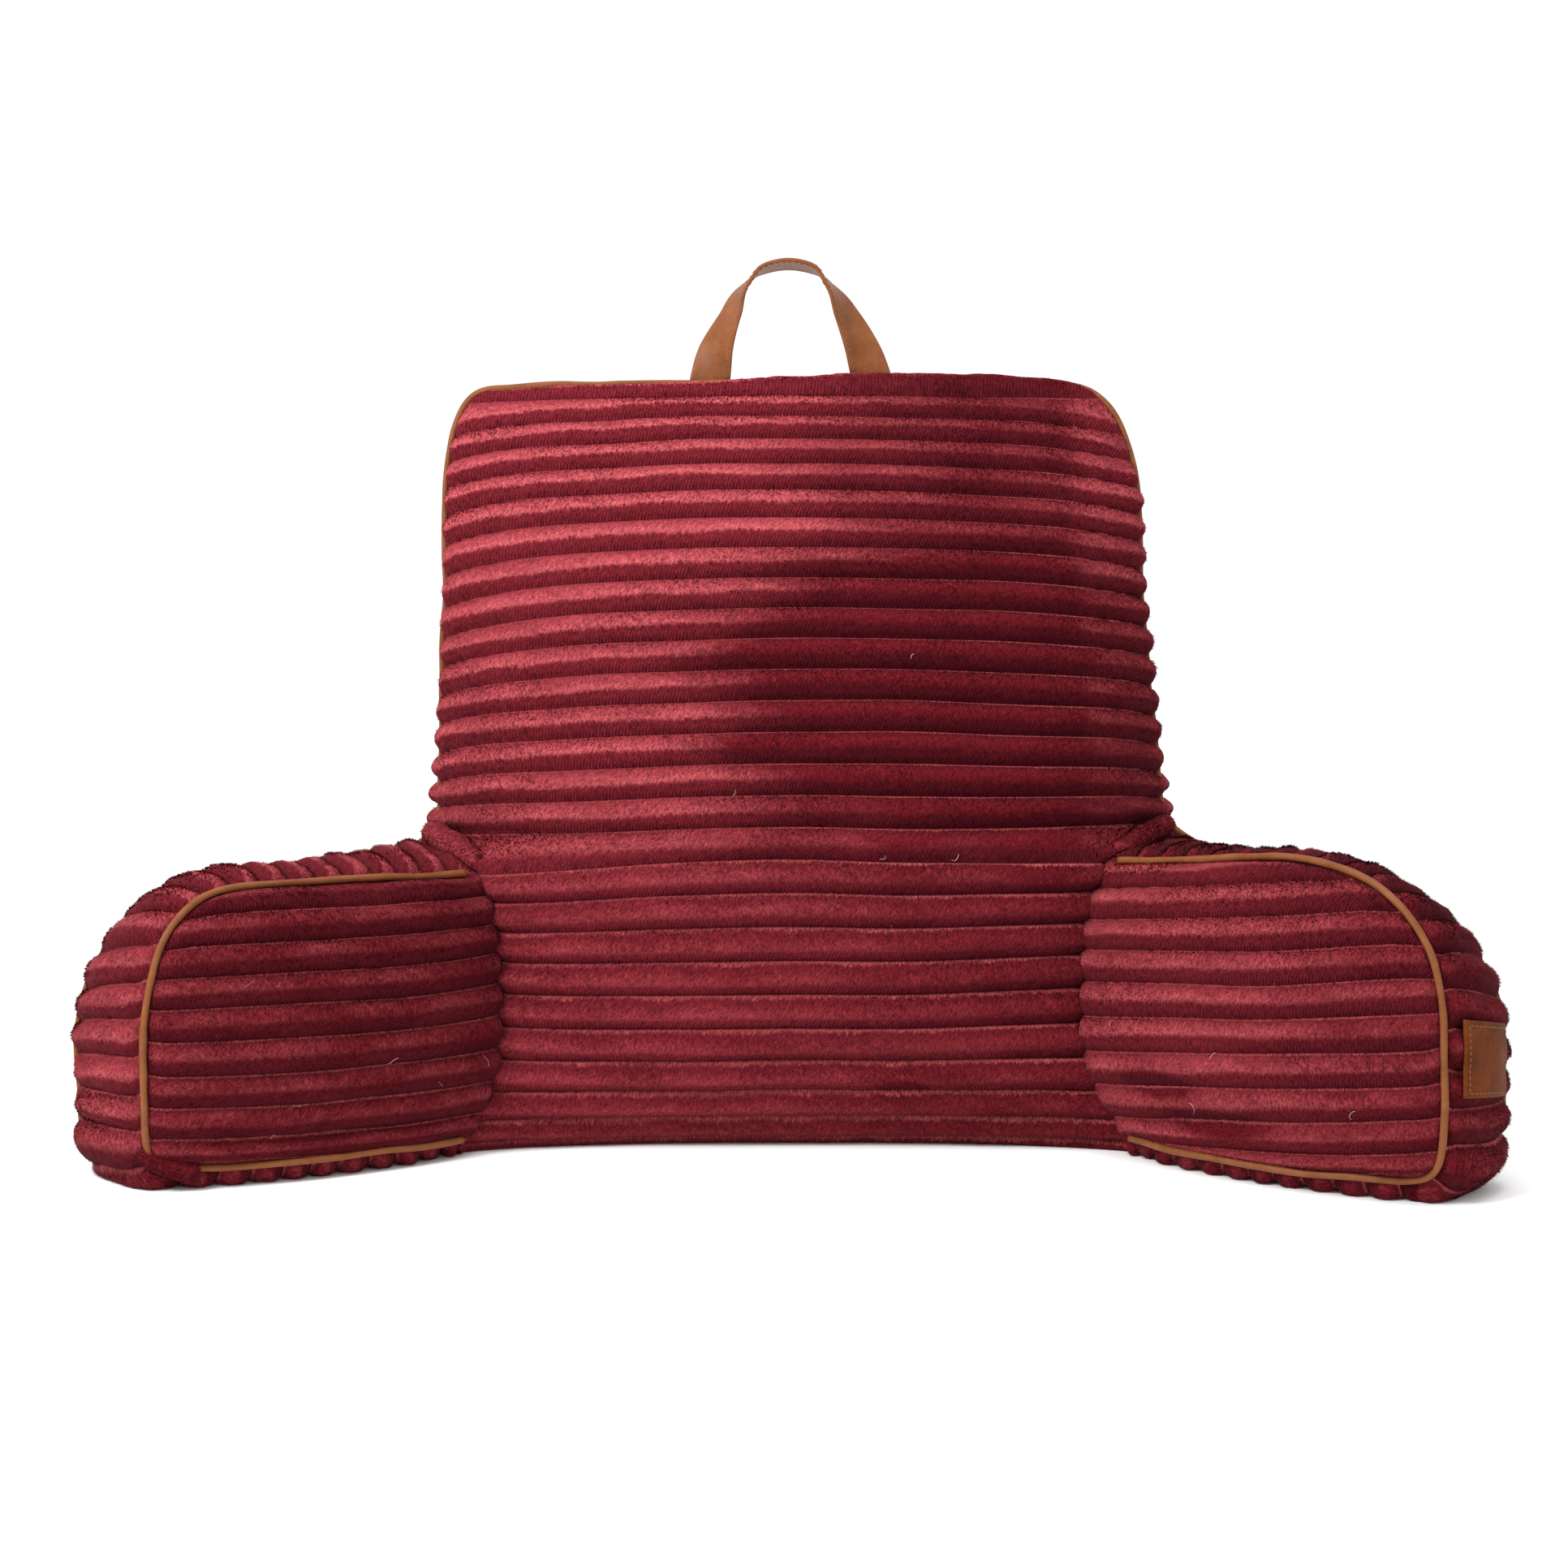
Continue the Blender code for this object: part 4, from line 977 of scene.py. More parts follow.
def panel_data(points, u, phase, outward, look, density):
    """A panel for the meshes: its points, their places on the cloth, its outside and its pile."""
    cloth = np.stack([u / RIB_PITCH, phase], -1)
    return dict(points=points, cloth=cloth, outward=outward, look=look, pile=density)


def across_lengths(points):
    """Distance across the cloth from a grid's first column to each point."""
    walked = np.linalg.norm(np.diff(points, axis=1), axis=2).cumsum(axis=1)
    return np.insert(walked, 0, 0, axis=1)


def add_lobes(grid, front, points, away, crest):
    """The ribs' ends bulge over the seams on both sides of the backrest."""
    hump = away / LOBE_WIDTH * np.exp(1 - away / LOBE_WIDTH) * np.sqrt(crest)
    for side, shape in SIDES.items():
        at_side = points[:, :, 0] * shape["sign"] > 0
        if front:
            push = LOBE[side] * np.clip((LOBE_TOP[side] - points[:, :, 2]) / RIB_PITCH, LOBE_LEAST, 1)
        else:
            push = smooth(points[:, :, 2], BACK_LOBES["z"], BACK_LOBES["reach"])
        grid[:, :, 0] += shape["sign"] * push * hump * at_side


def backrest_cloth(front, filling):
    """The front or the back panel's fine points, with ribs, and its coordinates on the cloth."""
    name = "front" if front else "back"
    distances = row_distances()
    count = FRONT_POINTS if front else BACK_POINTS
    evened = [even_columns(backrest_panel(facing), count) for facing in (True, False)]
    even, places = evened[0 if front else 1]
    t = fine_distances()
    points = add_filling(smooth(t, distances, even), filling, t / BASE_T)
    u = smooth(t, distances, places)
    outward = np.array([0, -1.0, 0]) if front else np.array([0, 1.0, 0])
    normals, down, _ = grid_frame(points, outward)
    v = np.repeat(t[:, None], count + 1, axis=1)
    away = edge_distance(points, axes=(1,))
    inside = np.clip(away / RIB_ROUNDING, 0, 1)
    ends = np.clip(np.minimum(t - FIRST_GROOVE, BASE_T - t) / RIB_PITCH, 0, 1)[:, None]
    wandered = wander("backrest", u, v, inside, SEEDS[name]) * ends
    thickness = np.linalg.norm(evened[0][0] - evened[1][0], axis=2)
    thin = np.clip(smooth(t, distances, thickness) / THIN_EDGE, 0, 1)
    drop = EDGE_DROP * ends * ease(points[:, :, 2], *EDGE_DROP_Z) * np.exp(-away / EDGE_DROP_WIDTH)
    phase = (v - drop - FIRST_GROOVE) / RIB_PITCH
    crest = np.abs(np.sin(pi * phase))
    relief = rib_height(phase) * np.sqrt(inside) * thin
    roughen(relief, "backrest", u, v, crest * inside, inside, SEEDS[name])
    grid = points + down * wandered[:, :, None] + normals * relief[:, :, None]
    above = np.clip((distances[junction_row("left")] - t) / SEAT_RAMP, 0, 1)
    grid += outward * SEAT * above[:, None, None]
    add_lobes(grid, front, points, away, crest)
    if front:
        tops = smooth(points[0, :, 0], TOP_LOBES["x"], TOP_LOBES["height"])
        grid[:, :, 2] += tops * np.clip(1 - t / FIRST_GROOVE, 0, 1)[:, None]
    grid[:, :, 2] = np.maximum(grid[:, :, 2], FLOOR_CLEARANCE)
    grid[-1, :, 2] = FLOOR_CLEARANCE
    look = front_look(points) if front else flat_look(points, *BRUSHING_AND_PAINTED_LIGHT["back"])
    return panel_data(grid, u, phase, outward, look, PILE[name])


def arm_cloth(side, outer, filling):
    """An arm panel's fine points, with ribs, and its coordinates on the cloth."""
    rows = arm_rows(side, outer)
    first, last = row_distances()[[rows[0], rows[-1]]]
    t = np.linspace(first, last, int((last - first) / ARM_STEP) + 1)
    shares = falls(section(t, side + "_z"))
    alongs = np.linspace(0, 1, ARM_POINTS + 1)
    alongs = 0.5 * (0.5 - 0.5 * np.cos(pi * alongs)) + 0.5 * alongs
    points = arm_panel(side, outer, shares, alongs)
    points = add_filling(points, filling, np.linspace(0, 1, len(t)))
    facing = arm_frame(side)[2] * (1 if outer else -1)
    normals = grid_frame(points, facing)[0]
    u = across_lengths(points) * SIDES[side]["sign"]
    root_z = points[0, 0, 2]
    level_z = root_z + (ARM_BASE_SEAM - root_z) * shares[:, None]
    v = t[:, None] + level_z - points[:, :, 2] + ARM_SHIFT[side] + ARM_RISE[side] * alongs[None, :]
    seed = SEEDS["arm_" + side] + (SEEDS["outer_panel"] if outer else 0)
    inside = np.clip(edge_distance(points) / RIB_ROUNDING, 0, 1)
    v = v + wander("arm", u, v, inside, seed)
    phase = (v - FIRST_GROOVE) / RIB_PITCH
    relief = rib_height(phase) * np.sqrt(inside)
    roughen(relief, "arm", u, v, np.abs(np.sin(pi * phase)) * inside, inside, seed)
    shift = seat_shift(side, outer, points)
    shift[:, 0] = 0
    grid = points + shift + normals * relief[:, :, None]
    density = PILE["arm_outer" if outer else "arm_inner"]
    return panel_data(grid, u, phase, facing, arm_look(side, outer, points), density)


def strip_cloth(side, filling):
    """A gusset strip's fine points, with ribs across it, and its coordinates on the cloth."""
    outward = arm_frame(side)[2]
    length = gusset_length(side)
    distances = np.linspace(0, length, int(round(length / FINE_STEP)) + 1)
    from_end = np.minimum(distances, length - distances)
    across = np.linspace(0, 1, STRIP_POINTS + 1)
    points = gusset_grid(side, distances, across)
    coarse = np.linspace(0, 1, GUSSET_COLUMNS + 1)
    for base, start in ((False, 0), (True, -1)):
        change = smooth(across, coarse, gusset_root(side, base)) - points[start]
        away = np.abs(distances - distances[start]) / ROOT_BLEND
        points += change[None] * (np.clip(1 - away, 0, 1) ** 2)[:, None, None]
    points = add_filling(points, filling, distances / length)
    facing = points - points.mean(axis=(0, 1))
    normals = grid_frame(points, facing)[0]
    u = across_lengths(points)
    seed = SEEDS["strip_" + side]
    v = np.repeat(distances[:, None], STRIP_POINTS + 1, axis=1)
    away = edge_distance(points, axes=(1,))
    inside = np.clip(away / RIB_ROUNDING, 0, 1)
    ends = np.clip(from_end / SEAM_FADE, 0, 1)[:, None]
    v = v + wander("strip", u, v, inside * ends, seed)
    phase = v / RIB_PITCH
    relief = STRIP_FULLNESS * rib_height(phase) * np.sqrt(inside) * (STRIP_ENDS + (1 - STRIP_ENDS) * ends)
    roughen(relief, "strip", u, v, np.abs(np.sin(pi * phase)) * inside, inside * ends, seed)
    seat = SEAT * np.clip(from_end / SEAT_FADE, 0, 1)[:, None, None]
    blend = np.clip(1 - away / SEAT_RUN, 0, 1)[:, :, None]
    toward = np.where(across[None, :, None] < 0.5, 1.0, -1.0) * outward
    grid = points + normals * relief[:, :, None] + toward * seat * blend
    grid[:, :, 2] = np.maximum(grid[:, :, 2], FLOOR_CLEARANCE)
    return panel_data(grid, u, phase, facing, strip_look(side, points), PILE["strip"])


# Meshes

class Shell:
    """A mesh under construction: vertices in grids, each with its coordinates and look on the cloth."""

    def __init__(self):
        self.mesh = bmesh.new()
        self.layer = self.mesh.loops.layers.uv.new("cloth")
        self.look = self.mesh.verts.layers.float_color.new("look")
        self.cloth = {}

    def add(self, panel):
        """Vertices at a panel's points, as a grid."""
        looks = panel.get("look")
        if looks is None:
            looks = flat_look(panel["points"], *BRUSHING_AND_PAINTED_LIGHT["plain"])
        grid = []
        for row, places, shades in zip(panel["points"], panel["cloth"], looks):
            line = []
            for point, place, shade in zip(row, places, shades):
                vert = self.mesh.verts.new(point)
                vert[self.look] = shade
                self.cloth[vert] = place
                line.append(vert)
            grid.append(line)
        return grid

    def fill(self, grid):
        """Faces over a grid of vertices."""
        for upper, lower in zip(grid, grid[1:]):
            for k in range(len(upper) - 1):
                self.face((upper[k], upper[k + 1], lower[k + 1], lower[k]))

    def face(self, corners):
        """One face, with its corners' coordinates on the cloth."""
        face = self.mesh.faces.new(corners)
        for loop in face.loops:
            loop[self.layer].uv = self.cloth[loop.vert]

    def between(self, first, second):
        """Triangles between two lines of vertices that run the same way and may share their ends."""
        reach = [arc_lengths(np.array([v.co for v in line])) for line in (first, second)]
        reach = [lengths / lengths[-1] for lengths in reach]
        i, j = 0, 0
        while i < len(first) - 1 or j < len(second) - 1:
            step = j == len(second) - 1 or (i < len(first) - 1 and reach[0][i + 1] <= reach[1][j + 1])
            corners = (first[i], second[j], first[i + 1] if step else second[j + 1])
            if len(set(corners)) == 3:
                self.face(corners)
            i, j = (i + 1, j) if step else (i, j + 1)

    def close(self, name, material=None):
        """The shell's holes filled, as a piece."""
        edges = [edge for edge in self.mesh.edges if edge.is_boundary]
        if edges:
            bmesh.ops.holes_fill(self.mesh, edges=edges)
        return mesh_piece(name, self.mesh, material)


def new_piece(name, data):
    """An object with this data, in the scene."""
    piece = bpy.data.objects.new(name, data)
    bpy.context.scene.collection.objects.link(piece)
    return piece


def mesh_piece(name, mesh, material, rounded=True):
    """A finished mesh as a piece, its faces turned outward."""
    bmesh.ops.recalc_face_normals(mesh, faces=mesh.faces)
    data = bpy.data.meshes.new(name)
    mesh.to_mesh(data)
    mesh.free()
    if rounded:
        data.shade_smooth()
    if material:
        data.materials.append(material)
    return new_piece(name, data)


def skin(mesh, rings, rows=None, columns=None):
    """Faces from ring to ring and over both ends, and their places on the cloth where they are given."""
    count = len(rings[0])
    layer = mesh.loops.layers.uv.get("cloth")
    for k, (lower, upper) in enumerate(zip(rings, rings[1:])):
        for n in range(count):
            m = (n + 1) % count
            face = mesh.faces.new((lower[n], lower[m], upper[m], upper[n]))
            if rows is None:
                continue
            spots = ((k, n), (k, n + 1), (k + 1, n + 1), (k + 1, n))
            for loop, (row, place) in zip(face.loops, spots):
                loop[layer].uv = (rows[row], columns[place])
    mesh.faces.new(rings[0])
    mesh.faces.new(rings[-1])


def circle(mesh, centre, radius, first, second, sides):
    """A ring of vertices round a centre, in the plane of two directions."""
    angles = 2 * pi * np.arange(sides) / sides
    return [mesh.verts.new(centre + radius * (first * np.cos(a) + second * np.sin(a))) for a in angles]


def backrest_shell(front, back):
    """The backrest's closed shell, and its two grids of vertices."""
    shell = Shell()
    grids = [shell.add(front), shell.add(back)]
    for grid in grids:
        shell.fill(grid)
    for index in (0, -1):
        shell.fill([[a[index], b[index]] for a, b in zip(*grids)])
    for index in (0, -1):
        shell.between(grids[0][index], grids[1][index])
    return shell, grids


def arm_shell(side, *panels):
    """An arm's closed shell of its inner panel, outer panel and strip, and its three grids of vertices."""
    clearance = arm_frame(side)[1] * ROOT_CLEARANCE
    shell = Shell()
    for panel in panels[:2]:
        panel["points"][:, 0] += clearance
    panels[2]["points"][[0, -1]] += clearance
    grids = [shell.add(panel) for panel in panels]
    for grid in grids:
        shell.fill(grid)
    for grid, index in ((grids[0], 0), (grids[1], -1)):
        outline = grid[0] + [row[-1] for row in grid[1:-1]] + grid[-1][::-1]
        shell.between(outline, [row[index] for row in grids[2]])
    return shell, grids


def coarse_panel(points):
    """A plain panel for the filling's simulation, with no coordinates on the cloth."""
    return dict(points=points, cloth=np.zeros(points.shape[:2] + (2,)))


def settle(shell, grids, name):
    """How far each point of the grids moves when the shell is filled, its seams held."""
    shell.mesh.verts.index_update()
    indices = [np.array([[vert.index for vert in row] for row in grid]) for grid in grids]
    rest = np.array([vert.co for vert in shell.mesh.verts])
    pad = shell.close(name)
    pinned = set()
    for index in indices:
        pinned |= set(index[0]) | set(index[-1]) | set(index[:, 0]) | set(index[:, -1])
    group = pad.vertex_groups.new(name="seams")
    group.add([int(i) for i in pinned], 1.0, "REPLACE")
    cloth = pad.modifiers.new("filling", "CLOTH")
    cloth.settings.use_pressure = True
    cloth.settings.uniform_pressure_force = PAD_PRESSURE
    cloth.settings.effector_weights.gravity = 0
    cloth.settings.vertex_group_mass = "seams"
    cloth.settings.quality = PAD_QUALITY
    cloth.collision_settings.use_collision = False
    cloth.point_cache.frame_end = PAD_STEPS
    scene = bpy.context.scene
    for frame_number in range(1, PAD_STEPS + 1):
        scene.frame_set(frame_number)
    graph = bpy.context.evaluated_depsgraph_get()
    filled = pad.evaluated_get(graph).to_mesh()
    moved = np.array([vert.co for vert in filled.vertices])[:len(rest)] - rest
    scene.frame_set(1)
    bpy.data.objects.remove(pad)
    reach = np.linalg.norm(moved, axis=1, keepdims=True)
    moved *= np.minimum(1, PAD_CAP / np.maximum(reach, 1e-9))
    return [moved[index] for index in indices]


def backrest_filling():
    """Movement of the backrest's front and back panel when it is filled."""
    panels = []
    for front in (True, False):
        rows = even_columns(backrest_panel(front), PAD_COLUMNS)[0]
        kept = sorted(set(range(0, len(rows), PAD_ROW_SKIP)) | {len(rows) - 1})
        panels.append(coarse_panel(rows[kept]))
    return settle(*backrest_shell(*panels), "backrest_filling")


def arm_filling(side):
    """Movement of an arm's inner panel, outer panel and strip when it is filled."""
    alongs = np.linspace(0, 1, PAD_ARM_COLUMNS + 1)
    grids = [arm_panel(side, outer, falls(arm_root(side, outer)[:, 2]), alongs) for outer in (False, True)]
    distances = np.linspace(0, gusset_length(side), PAD_STRIP_ROWS + 1)
    grids.append(gusset_grid(side, distances, np.linspace(0, 1, PAD_STRIP_COLUMNS + 1)))
    return settle(*arm_shell(side, *map(coarse_panel, grids)), "arm_filling")


def blade_weights(panel):
    """Density of the pile on each cell of a panel."""
    points = panel["points"]
    corner = points[:-1, :-1]
    area = np.linalg.norm(np.cross(points[1:, :-1] - corner, points[:-1, 1:] - corner), axis=2)
    crest = np.where(panel["cloth"][:-1, :-1, 1] % 1 < CREST_PHASE, 1.0, GROOVE_PILE)
    return area * crest * panel.get("pile", 1.0)


def blades(panel, weights, count, rng, seed):
    """Corners, normals, places on the cloth and looks of a panel's blades of pile."""
    cells = rng.choice(weights.size, count, p=(weights / weights.sum()).ravel())
    i, j = np.unravel_index(cells, weights.shape)
    f = rng.random(count)[:, None]
    g = rng.random(count)[:, None]

    def blend(values):
        upper = values[i, j] * (1 - g) + values[i, j + 1] * g
        lower = values[i + 1, j] * (1 - g) + values[i + 1, j + 1] * g
        return upper * (1 - f) + lower * f

    base = blend(panel["points"])
    normal, sink, side = [unit(blend(lines)) for lines in grid_frame(panel["points"], panel["outward"])]
    place = blend(panel["cloth"])
    lean = BLADE_LEAN * soft_noise(place[:, 0], place[:, 1], BLADE_LEAN_CELLS, seed + SEEDS["lean"])[:, None]
    jitter = rng.normal(0, BLADE_JITTER, (count, 3))
    hanging = sink * (BLADE_DOWN + DOWN_JITTER * jitter[:, :1])
    toward = unit(normal * BLADE_UP + hanging + side * (lean + BLADE_ASIDE) + ALL_JITTER * jitter)
    length = rng.uniform(*BLADE_LENGTH, count)[:, None]
    wide = unit(np.cross(toward, normal + FACE_JITTER * jitter)) * BLADE_WIDTH * 0.5
    foot = base - normal * BLADE_SINK
    tip = base + toward * length
    for end in (foot, tip):
        end[:, 2] = np.maximum(end[:, 2], FLOOR_CLEARANCE)
    shade = unit(normal + SHADE_TOWARD * toward + SHADE_JITTER * jitter)
    look = blend(panel["look"])
    shades, places, looks = [np.repeat(values[:, None], 3, axis=1) for values in (shade, place, look)]
    looks[:, :, 2] = (0, 0, 1)
    looks[:, :, 3] = rng.random(count)[:, None]
    return np.stack([foot - wide, foot + wide, tip], 1), shades, places, looks


def pile(name, panels, count, seed, material):
    """Short blades of pile that stand on the cloth, denser on the crests."""
    rng = np.random.default_rng(seed)
    weights = [blade_weights(panel) for panel in panels]
    whole = sum(weight.sum() for weight in weights)
    parts = []
    for panel, weight in zip(panels, weights):
        parts.append(blades(panel, weight, int(count * (weight.sum() / whole)), rng, seed))
    flat = [np.concatenate(part).reshape(-1, part[0].shape[-1]) for part in zip(*parts)]
    points, normals, places, looks = flat
    total = len(points) // 3
    data = bpy.data.meshes.new(name)
    data.vertices.add(len(points))
    data.vertices.foreach_set("co", points.astype(np.float32).ravel())
    data.loops.add(len(points))
    data.loops.foreach_set("vertex_index", np.arange(len(points), dtype=np.int32))
    data.polygons.add(total)
    data.polygons.foreach_set("loop_start", np.arange(0, 3 * total, 3, dtype=np.int32))
    data.update(calc_edges=True)
    layer = data.uv_layers.new(name="cloth")
    layer.uv.foreach_set("vector", places.astype(np.float32).ravel())
    look = data.attributes.new("look", "FLOAT_COLOR", "POINT")
    look.data.foreach_set("color", looks.astype(np.float32).ravel())
    data.shade_smooth()
    data.normals_split_custom_set_from_vertices(normals.tolist())
    data.materials.append(material)
    return new_piece(name, data)


def fold_panel(start, end, radius, nap_and_painted_light, seed):
    """A roll of plush that bulges out of a seam, painted lighter on its upper side and darker underneath, as
    light from above would fall.
    """
    start, end = np.array(start), np.array(end)
    axis = unit(end - start)
    side = unit(np.cross(axis, (0, 0, 1)))
    up = np.cross(side, axis)
    high = np.linspace(0, pi, FOLD_RINGS + 1)[:, None, None]
    turn = np.linspace(0, 2 * pi, FOLD_SIDES + 1)[None, :, None]
    ball = np.sin(high) * (np.cos(turn) * side + np.sin(turn) * up) - np.cos(high) * axis
    share = ease(high, *FOLD_BODY)
    lumps = soft_noise(3 + 2 * share[:, :, 0], 3 + ball[:, :, 2], FOLD_LUMP_CELLS, seed)
    points = start + (end - start) * share + ball * radius * (1 + FOLD_LUMPS * lumps[:, :, None])
    points[:, :, 2] = np.maximum(points[:, :, 2], FLOOR_CLEARANCE)
    u = share[:, :, 0] * np.linalg.norm(end - start) / RIB_PITCH
    # Painted light and shade round the roll: light on top, dark underneath
    v = FOLD_PHASE[0] - FOLD_PHASE[1] * np.sin(turn[:, :, 0])
    cloth = np.stack(np.broadcast_arrays(u, v), -1)
    return dict(points=points, cloth=cloth, outward=ball, look=flat_look(points, nap_and_painted_light, FOLD_EDGE))


def make_folds(material):
    """Rolls of plush over the seams where the arms join the back, and at the left arm's lower corner."""
    for number, fold in enumerate(FOLDS):
        panel = fold_panel(*fold, SEEDS["fold"] + number)
        shell = Shell()
        shell.fill(shell.add(panel))
        name = "fold_" + str(number + 1)
        dress(shell.close(name, material), "plush")
        dress(pile(name + "_pile", [panel], FOLD_BLADES, SEEDS["fold_pile"] + number, material), "plush")


def make_lint(panels, material):
    """A few pale hairs that cling to the pile."""
    rng = np.random.default_rng(SEEDS["lint"])
    mesh = bmesh.new()
    for panel in panels:
        normals = grid_frame(panel["points"], panel["outward"])[0]
        for _ in range(LINT_HAIRS):
            i, j = [rng.integers(int(LINT_MARGIN * n), int((1 - LINT_MARGIN) * n)) for n in normals.shape[:2]]
            normal = normals[i, j]
            start = panel["points"][i, j] + normal * LINT_LIFT
            heading = unit(np.cross(normal, rng.normal(size=3)))
            across = np.cross(normal, heading)
            bend = rng.uniform(-LINT_BEND, LINT_BEND)
            length = rng.uniform(*LINT_LENGTH)
            rings = []
            for share in np.linspace(0, 1, LINT_POINTS):
                turn = bend * share + LINT_TURN
                line = heading * np.sin(turn) + across * np.cos(turn)
                centre = start + line * length * share + normal * LINT_WAVE * np.sin(LINT_WAVES * share)
                rings.append(circle(mesh, centre, LINT_RADIUS, across, normal, LINT_SIDES))
            skin(mesh, rings)
    return mesh_piece("lint", mesh, material, rounded=False)


def tube(name, line, seed, material):
    """A length of piping along a line, a little uneven, with closed ends."""
    lengths = arc_lengths(line)
    tangents = unit(np.gradient(line, axis=0))
    first = unit(np.cross(tangents, (0, 0, 1)) + 1e-6)
    for k in range(1, len(line)):
        first[k] = unit(first[k - 1] - tangents[k] * (first[k - 1] @ tangents[k]))
    second = np.cross(tangents, first)
    swell = 1 + PIPING_SWELL * soft_noise(lengths, lengths * 0, (PIPING_SWELL_CELL, 1), seed)
    mesh = bmesh.new()
    mesh.loops.layers.uv.new("cloth")
    rings = []
    for centre, radius, *directions in zip(line, PIPING_RADIUS * swell, first, second):
        rings.append(circle(mesh, centre, radius, *directions, PIPING_SIDES))
    skin(mesh, rings, lengths / RIB_PITCH, np.arange(PIPING_SIDES + 1) / PIPING_SIDES)
    return mesh_piece(name, mesh, material)


def stitches(name, rows, sizes, material):
    """Short raised stitches along rows of points, each row with the normals of what it is sewn to."""
    spacing, length, radius = sizes
    mesh = bmesh.new()
    for points, normals in rows:
        lengths = arc_lengths(points)
        count = int(lengths[-1] / spacing)
        for k in range(count):
            middle = (k + 0.5) * lengths[-1] / count
            places = np.array([middle - length / 2, middle, middle + length / 2])
            ends = along_line(points, places, lengths)
            normal = unit(along_line(normals, places, lengths)[1])
            forward = unit(ends[2] - ends[0])
            side = unit(np.cross(forward, normal))
            rings = []
            for share, size, lift in STITCH_PROFILE:
                centre = ends[1] + forward * share * length + normal * lift * radius
                rings.append(circle(mesh, centre, radius * size, side, normal, STITCH_SIDES))
            skin(mesh, rings)
    return mesh_piece(name, mesh, material)


def handle_frames():
    """The strap's middle line, its width direction and its face direction."""
    shares = np.linspace(0, 1, STRAP_STEPS + 1)
    x, y, z, turns = [smooth(shares, HANDLE["share"], HANDLE[name]) for name in ("x", "y", "z", "turn")]
    line = np.stack([x, y, z], -1)
    turns = np.radians(turns)
    tangents = unit(np.gradient(line, axis=0))
    tangents[0] = (0, 0, 1)
    tangents[-1] = (0, 0, -1)
    wide = np.stack([-np.cos(turns), np.sin(turns), HANDLE_TILT * np.sin(turns)], -1)
    wide = unit(wide - tangents * np.sum(wide * tangents, axis=1, keepdims=True))
    return line, wide, np.cross(wide, tangents)


def strap_profile():
    """The strap's outline: its corners are folded over and stand a little prouder than its middle."""
    corner = np.array(STRAP_CORNER)
    upper = np.concatenate([corner * (-1, 1), [(0, STRAP_MIDDLE)], corner[::-1]])
    profile = np.concatenate([upper, upper[-2:0:-1] * (1, -1)])
    return profile * (0.5 * HANDLE_WIDTH, 0.5 * HANDLE_THICKNESS)


def make_strap(material):
    """The strap handle with rounded, folded edges."""
    line, wide, thick = handle_frames()
    profile = strap_profile()
    mesh = bmesh.new()
    mesh.loops.layers.uv.new("cloth")
    rings = [[mesh.verts.new(c + w * x + t * y) for x, y in profile] for c, w, t in zip(line, wide, thick)]
    skin(mesh, rings, arc_lengths(line) / RIB_PITCH, np.append(profile[:, 0], profile[0, 0]) / RIB_PITCH)
    return mesh_piece("strap", mesh, material)


def strap_stitch_rows():
    """A row of stitches along the strap's inner edge, on both faces."""
    line, wide, thick = handle_frames()
    edge = line - wide * STRAP_SEAM[0] * HANDLE_WIDTH
    return [(edge + thick * face * STRAP_SEAM[1] * HANDLE_THICKNESS, thick * face) for face in (-1, 1)]


def label_grid(lift):
    """Points of the patch's surface over the right arm's strip, and their normals."""
    side = "right"
    dense = np.linspace(0, gusset_length(side), LABEL_SAMPLES)
    seam = gusset_lines(side, dense)[0]
    at_tip = np.abs(inward(side, seam)[:, 2]) < TIP_FACING
    low, high = (dense[at_tip][np.argmin(np.abs(seam[at_tip][:, 2] - z))] for z in LABEL_ALONG)
    distances = np.linspace(high, low, LABEL_ROWS + 1)
    grid = gusset_grid(side, distances, np.linspace(*LABEL_ACROSS, LABEL_COLUMNS + 1))
    normals = grid_frame(grid, arm_frame(side)[1])[0]
    wave = LABEL_WAVE * np.abs(np.sin(pi * distances / RIB_PITCH))[:, None, None]
    return grid + normals * (LABEL_LIFT + lift + wave), normals


def edge_cells(count):
    """Cells from each of a patch's rows or columns to the nearer edge."""
    places = np.arange(count + 1)
    return np.minimum(places, count - places)


def make_label(material):
    """The patch, with slightly rolled edges."""
    top, normals = label_grid(LABEL_THICKNESS)
    bottom = label_grid(0)[0]
    cells = np.minimum(edge_cells(LABEL_ROWS)[:, None], edge_cells(LABEL_COLUMNS)[None, :])
    edge = np.clip(cells / LABEL_ROLL_CELLS, 0, 1)
    u, v = np.meshgrid(np.linspace(0, 1, LABEL_COLUMNS + 1), np.linspace(0, 1, LABEL_ROWS + 1))
    bumps = LABEL_BUMPS * soft_noise(u, v, LABEL_BUMP_CELLS, SEEDS["label"])
    top = top + normals * (bumps - LABEL_ROLL * (1 - edge) ** 2)[:, :, None]
    shell = Shell()
    places = np.stack([u, v * LABEL_ASPECT], -1)
    grids = [shell.add(dict(points=points, cloth=places)) for points in (bottom, top)]
    for grid in grids:
        shell.fill(grid)
    for index in (0, -1):
        shell.fill([grids[0][index], grids[1][index]])
        shell.fill([[a[index], b[index]] for a, b in zip(*grids)])
    return shell.close("patch", material)


def label_stitch_rows():
    """A row of stitches round the patch, just inside its edge."""
    grid, normals = label_grid(LABEL_THICKNESS)
    top, bottom = LABEL_SEAM_ROWS
    left, right = LABEL_SEAM_COLUMNS
    down = slice(top, bottom + 1)
    over = slice(left, right + 1)
    sides = ((down, left), (down, right), (top, over), (bottom, over))
    return [(grid[side], normals[side]) for side in sides]


# Materials

